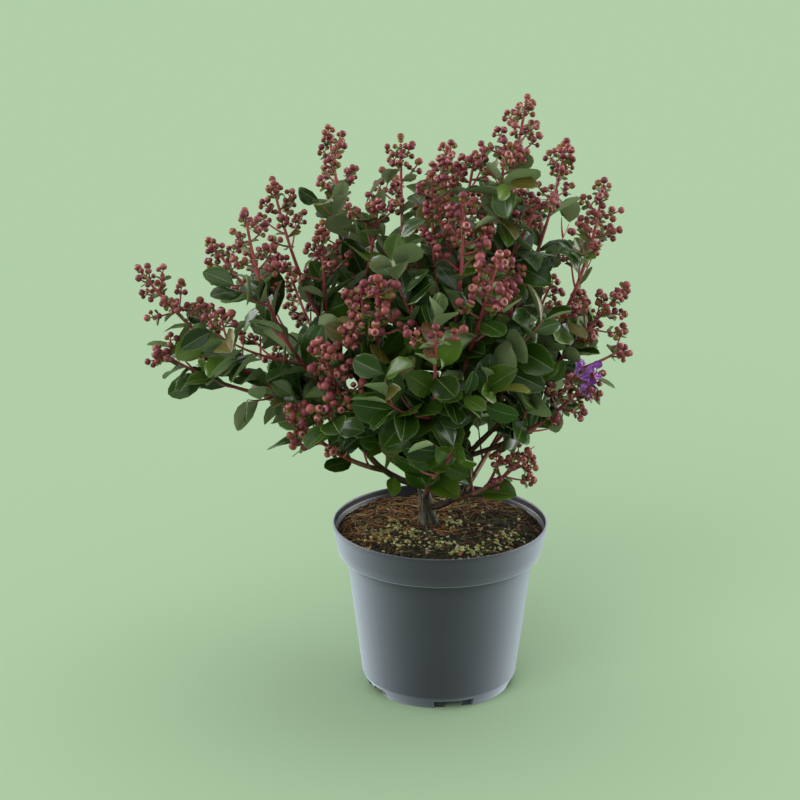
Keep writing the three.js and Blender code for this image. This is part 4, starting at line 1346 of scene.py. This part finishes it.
# Where the first leaves sit on each kind of shoot, in millimetres, and the size of its leaves. The
# last ones sit a little way up the panicle, or just past the end of a shoot that has none.
LEAFY_FROM = {"leader": (8, 1.0), "side": (10, 0.94), "twig": (6, 0.8)}
for shoot in shoots:
    first, size = LEAFY_FROM[shoot["kind"]]
    leafy = length_of(shoot["curve"]) - 0.86 * shoot["panicle"] - first
    leafy += 0 if shoot["panicle"] else 4
    gap = LEAF["gap"] * (0.72 if shoot["kind"] == "twig" else 1)
    if leafy > 4:
        tints = (0.45, 1) if shoot["kind"] == "twig" else (0, 1)
        grow_leaves(shoot["curve"], shoot["seed"], first, leafy, gap, LEAF["length"] * size, tints)
for number, curve in enumerate(bough_curves.values()):
    length, size = length_of(curve), LEAF["length"] * 0.9
    grow_leaves(curve, 600 + number, length * 0.4, length * 0.6, LEAF["gap"], size, (0, 0.2))


def blade_width(s):
    """Half width of a blade at a share s of its length: sin(pi s^1.15)^0.62, narrowed to a stalk
    below s = 0.2."""
    stalk = np.clip((s - 0.02) / 0.18, 0.07, 1) ** 0.8
    return np.sin(np.pi * s**1.15) ** 0.62 * stalk


def sheet_grid(rows, across, side):
    """For each point of a closed thin sheet, from pole to pole: its share along, its share across, and
    how many half thicknesses it lies above the sheet's middle."""
    lengthways = np.concatenate([[0], np.repeat(rows, len(across)), [1]])
    crossways = [np.concatenate([[0], np.tile(part, len(rows)), [0]]) for part in (across, side)]
    return lengthways, *crossways


# What each blade's shape is drawn from: its fold, and its droop, wave and half width as shares of its
# length. The twist and the phase of the wave are in radians.
BLADE = {
    "fold": (-0.08, 0.6),
    "droop": (0.02, 0.24),
    "twist": (-0.5, 0.5),
    "wave": (0.01, 0.05),
    "phase": (0, 2 * np.pi),
    "half_width": (0.26, 0.345),
}


def blades(sites, rows, half_thickness, random):
    """Closed thin leaves. At share s along and v across from -1 to 1, a point lies v times the half
    width out and s lengths along. Its height is the fold times how far out it lies, less the droop
    times s squared, plus a wave along the margins, and plus or minus the half thickness on the upper
    or lower side. A twist about the length then turns it."""
    roots, frames, lengths = (np.array([site[part] for site in sites]) for part in range(3))
    count = len(sites)
    s, v, layer = sheet_grid(rows, LEAF_ACROSS, LEAF_SIDE)
    fold, droop, twist, wave, phase, widest = (
        random.uniform(low, high, (count, 1)) for low, high in BLADE.values()
    )
    half = lengths[:, None] * widest * blade_width(np.clip(s, 0, 1))
    half[:, [0, -1]] = 0
    x = v * half
    y = lengths[:, None] * (s - 0.35 * droop * s**3)
    height = fold * np.abs(x) - droop * lengths[:, None] * s**2 + layer * half_thickness
    z = height + wave * lengths[:, None] * v**2 * np.sin(7 * s + phase + 1.3 * v) * np.sin(np.pi * s)
    cos, sin = np.cos(twist * s), np.sin(twist * s)
    return roots[:, None] + np.stack([x * cos - z * sin, y, x * sin + z * cos], axis=-1) @ frames


def blade_finish(name, blade, roughness):
    """Waxy leaf skin, softly shiny: a plain colour that drifts a little from leaf to leaf, and a
    slight pucker of 5 mm between the veins."""
    made, tree, shader = new_finish(name, Roughness=roughness, IOR=1.45, Specular_IOR_Level=0.3)
    place = add_node(tree, "TexCoord", {}).outputs["Object"]
    drift = add_node(tree, "TexNoise", {"Vector": place, "Scale": 1 / (30 * MM), "Detail": 1.0})
    full = np.array(linear(blade))[:3]
    ends = {0: drift.outputs["Fac"], 6: (*(full * 0.62), 1.0), 7: (*(full * 1.38), 1.0)}
    skin = add_node(tree, "Mix", ends, data_type="RGBA").outputs[2]
    tree.links.new(skin, shader.inputs["Base Color"])
    pucker = add_node(tree, "TexNoise", {"Vector": place, "Scale": 1 / (5 * MM), "Detail": 1.0})
    puckered = {"Height": pucker.outputs["Fac"], "Strength": 0.15, "Distance": 0.5 * MM}
    tree.links.new(add_node(tree, "Bump", puckered).outputs["Normal"], shader.inputs["Normal"])
    return made


# Each leaf finish has its colour and roughness: old leaves are dark green and glossy, young ones
# bronze, olive or red. Midribs are paler strips, and undersides are grey green and matt. Bright
# green and olive strips along the margins are a painted highlight.
LEAF_COLOURS = {
    "leaf_dark_green": (0x1C320A, 0.26),
    "leaf_deep_green": (0x26400E, 0.28),
    "leaf_mid_green": (0x385014, 0.3),
    "leaf_bright_green": (0x4A6218, 0.34),
    "leaf_bronze": (0x4A4819, 0.34),
    "leaf_olive": (0x555A22, 0.38),
    "leaf_red": (0x4E361E, 0.38),
    "leaf_underside": (0x87956C, 0.48),
    "leaf_midrib": (0x5C7040, 0.36),
    "leaf_young_midrib": (0x7A5C40, 0.42),
}
leaf_finishes = [blade_finish(name, *settings) for name, settings in LEAF_COLOURS.items()]
FIRST_YOUNG, UNDERSIDE = 4, 7
# Finishes of the painted highlight along old and young leaves' margins, and of their midribs
OLD_EDGE_HIGHLIGHT, YOUNG_EDGE_HIGHLIGHT, MIDRIB, YOUNG_MIDRIB = 3, 5, 8, 9


def leaf_numbers(tints, draws):
    """The finish of each leaf's upper side, from its tint, 0 for old to 1 for young, and a seeded draw:
    mostly dark greens, with more bronze, olive and red near the panicles."""
    shares = np.stack([
        0.48 - 0.28 * tints,
        0.32 - 0.1 * tints,
        0.13 + 0.04 * tints,
        0.03 + 0.01 * tints,
        0.02 + 0.16 * tints**2,
        0.04 * tints**3,
        0.02 * tints**3,
    ])
    sums = np.cumsum(shares / shares.sum(axis=0), axis=0)
    return (draws > sums[:-1]).sum(axis=0)


def leaf_sheet_finish(numbers, rows):
    """Upper faces take the leaf's own finish, with another along the midrib and a pale painted
    highlight along the margins, and lower faces that of the underside."""
    column = np.arange(LEAF_COLUMNS)
    finish = np.where(column < LEAF_UNDER, numbers[:, None], UNDERSIDE)
    young = numbers[:, None] >= FIRST_YOUNG
    finish = np.where(column == LEAF_MIDRIB, np.where(young, YOUNG_MIDRIB, MIDRIB), finish)
    # Pale margin strips: a painted highlight along the leaf's edges
    finish = np.where(np.isin(column, PAINTED_EDGE_COLUMNS), np.where(young, YOUNG_EDGE_HIGHLIGHT, OLD_EDGE_HIGHLIGHT), finish)
    return np.repeat(finish[:, None], len(rows) + 1, axis=1)


random = np.random.default_rng(17)
leaf_points = blades(leaves, LEAF_ROWS, LEAF["half_thickness"], random)
tints = np.array([leaf[3] for leaf in leaves])
leaf_finish = leaf_sheet_finish(leaf_numbers(tints, random.random(len(leaves))), LEAF_ROWS)
foliage = build("leaves", leaf_points, LEAF_COLUMNS, leaf_finishes, leaf_finish, 70, LEAF_UNDER)
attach(foliage, "root")
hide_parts(*FOLIAGE_NODES)

# Bracts: the small young leaves under each branchlet and cluster of a panicle, from green to bronze,
# olive and red
BRACT = {"half_thickness": 0.2, "shares": (0.03, 0.09, 0.16, 0.12, 0.18, 0.3, 0.12)}
BRACT_ROWS = np.array([0.1, 0.45, 0.8])
bracts = []
for node, direction, seed, length in bract_sites:
    face = turned_about(UP + 0.3 * direction, direction, between(seed, 42, -60, 60))
    if inside_reach(node + direction * length, 0).all():
        bracts.append((node, leaf_frame(direction, face), length))
bract_points = blades(bracts, BRACT_ROWS, BRACT["half_thickness"], random)
bract_numbers = random.choice(UNDERSIDE, len(bracts), p=BRACT["shares"])
bract_finish = leaf_sheet_finish(bract_numbers, BRACT_ROWS)
bract_leaves = build("bracts", bract_points, LEAF_COLUMNS, leaf_finishes, bract_finish, 70, LEAF_UNDER)
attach(bract_leaves, "root")
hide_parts(*FOLIAGE_NODES)


# Dry twigs: a few thin bare ones, left from last year, stand among the lowest boughs on the right.
DRY_TWIGS = {"count": 7, "share": (0.45, 0.9), "lean": (40, 75), "azimuth": (-60, 120)}
DRY_TWIG = {"length": (14, 30), "radius": 0.42, "rings": 6, "columns": 6}
dry_twigs = []
for number in range(DRY_TWIGS["count"]):
    bough = bough_curves["low_right"] if number % 2 else bough_curves["right"]
    foot, directions = shoot_frame(bough, between(number, 1, *DRY_TWIGS["share"]))
    lean, azimuth = between(number, 2, *DRY_TWIGS["lean"]), between(number, 3, *DRY_TWIGS["azimuth"])
    reach = leaning(directions, lean, azimuth) * between(number, 4, *DRY_TWIG["length"])
    dry_twigs.append(limb_curve(foot, foot + reach, 0.1))
# Dead wood: grey brown, bleached and matt
dry_wood = bark_finish("dry_wood", (0x5A4636, 0x8E765C), 1.0)
dry_radius = DRY_TWIG["radius"] * np.linspace(1.3, 0.6, DRY_TWIG["rings"])[None, :, None]
dry_t = np.linspace(0, 1, DRY_TWIG["rings"])
dry_points = tubes(np.stack(dry_twigs), dry_t, dry_radius, DRY_TWIG["columns"])
dry_wood_twigs = build("dry_twigs", dry_points, DRY_TWIG["columns"], [dry_wood])
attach(dry_wood_twigs, "root")


# Flowers: three have opened low on the right. Each is a loose tuft of violet petals, narrow at the
# foot, curled over and crinkled like crape where they widen.
FLOWER = {"petals": (6, 8, 3), "length": 9, "width_share": 0.46, "half_thickness": 0.1}
PETAL_ACROSS = np.array([-1, -0.4, 0.1, 0.6, 1, 0.6, 0.1, -0.4])
PETAL_SIDE = np.array([0, 1, 1, 1, 0, -1, -1, -1])
PETAL_UNDER = 4  # the first column underneath
PETAL_TURN = 137  # degrees from one petal to the next
FLOWERS_FACE = np.array([0.2, -0.9, 0.3])
PETAL_ROWS = np.array([0.08, 0.25, 0.42, 0.56, 0.7, 0.84, 0.95])
petals = []
for number, place in enumerate(flower_places):
    for petal in range(FLOWER["petals"][number]):
        seed = 900 + 20 * number + petal
        side = square_to(FLOWERS_FACE, PETAL_TURN * petal + between(seed, 1, -30, 30))
        way = unit(side + [0, between(seed, 2, -1.1, 0.2), 0])
        length = FLOWER["length"] * between(seed, 3, 0.75, 1.15)
        petals.append((place, leaf_frame(way, square_to(way, between(seed, 4, 0, 360))), length))


def crinkled(sites, rows, half_thickness, random):
    """Closed thin petals. The half width is small up to s = 0.35, a claw, and then sin-shaped. The
    height is a wave across and along that grows with the width, as crape is gathered at its foot."""
    roots, frames, lengths = (np.array([site[part] for site in sites]) for part in range(3))
    s, v, layer = sheet_grid(rows, PETAL_ACROSS, PETAL_SIDE)
    widening = np.sin(np.pi * np.clip((s - 0.3) / 0.72, 0, 1)) ** 0.7
    half = 0.04 + FLOWER["width_share"] * np.where(s < 0.35, 0, widening)
    half[[0, -1]] = 0
    phase = random.uniform(0, 2 * np.pi, (len(sites), 1))
    size = lengths[:, None]
    x = size * v * half
    y = size * (s + 0.1 * half * np.sin(11 * v + phase))
    crape = size * half * 0.7 * np.sin(7 * v + 10 * s + phase) * np.sin(5 * v - 8 * s + 2 * phase)
    local = np.stack([x, y, crape + layer * half_thickness + 0.35 * size * s**2], axis=-1)
    return roots[:, None] + local @ frames


# Petals: thin and matt with a silky sheen, violet with paler ones among them
petal_finishes = []
for name, colour in {"violet_petal": 0x7C3894, "pale_violet_petal": 0x9A58B0}.items():
    silk, _, _ = new_finish(name, Base_Color=linear(colour), Roughness=0.6, Sheen_Weight=0.3)
    petal_finishes.append(silk)
petal_points = crinkled(petals, PETAL_ROWS, FLOWER["half_thickness"], random)
petal_finish = (np.arange(len(petals)) % 3 == 0).astype(int)[:, None, None]
columns = len(PETAL_ACROSS)
petal_piece = build("petals", petal_points, columns, petal_finishes, petal_finish, 70, PETAL_UNDER)
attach(petal_piece, "root")
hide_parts("foliage_right_blooms")
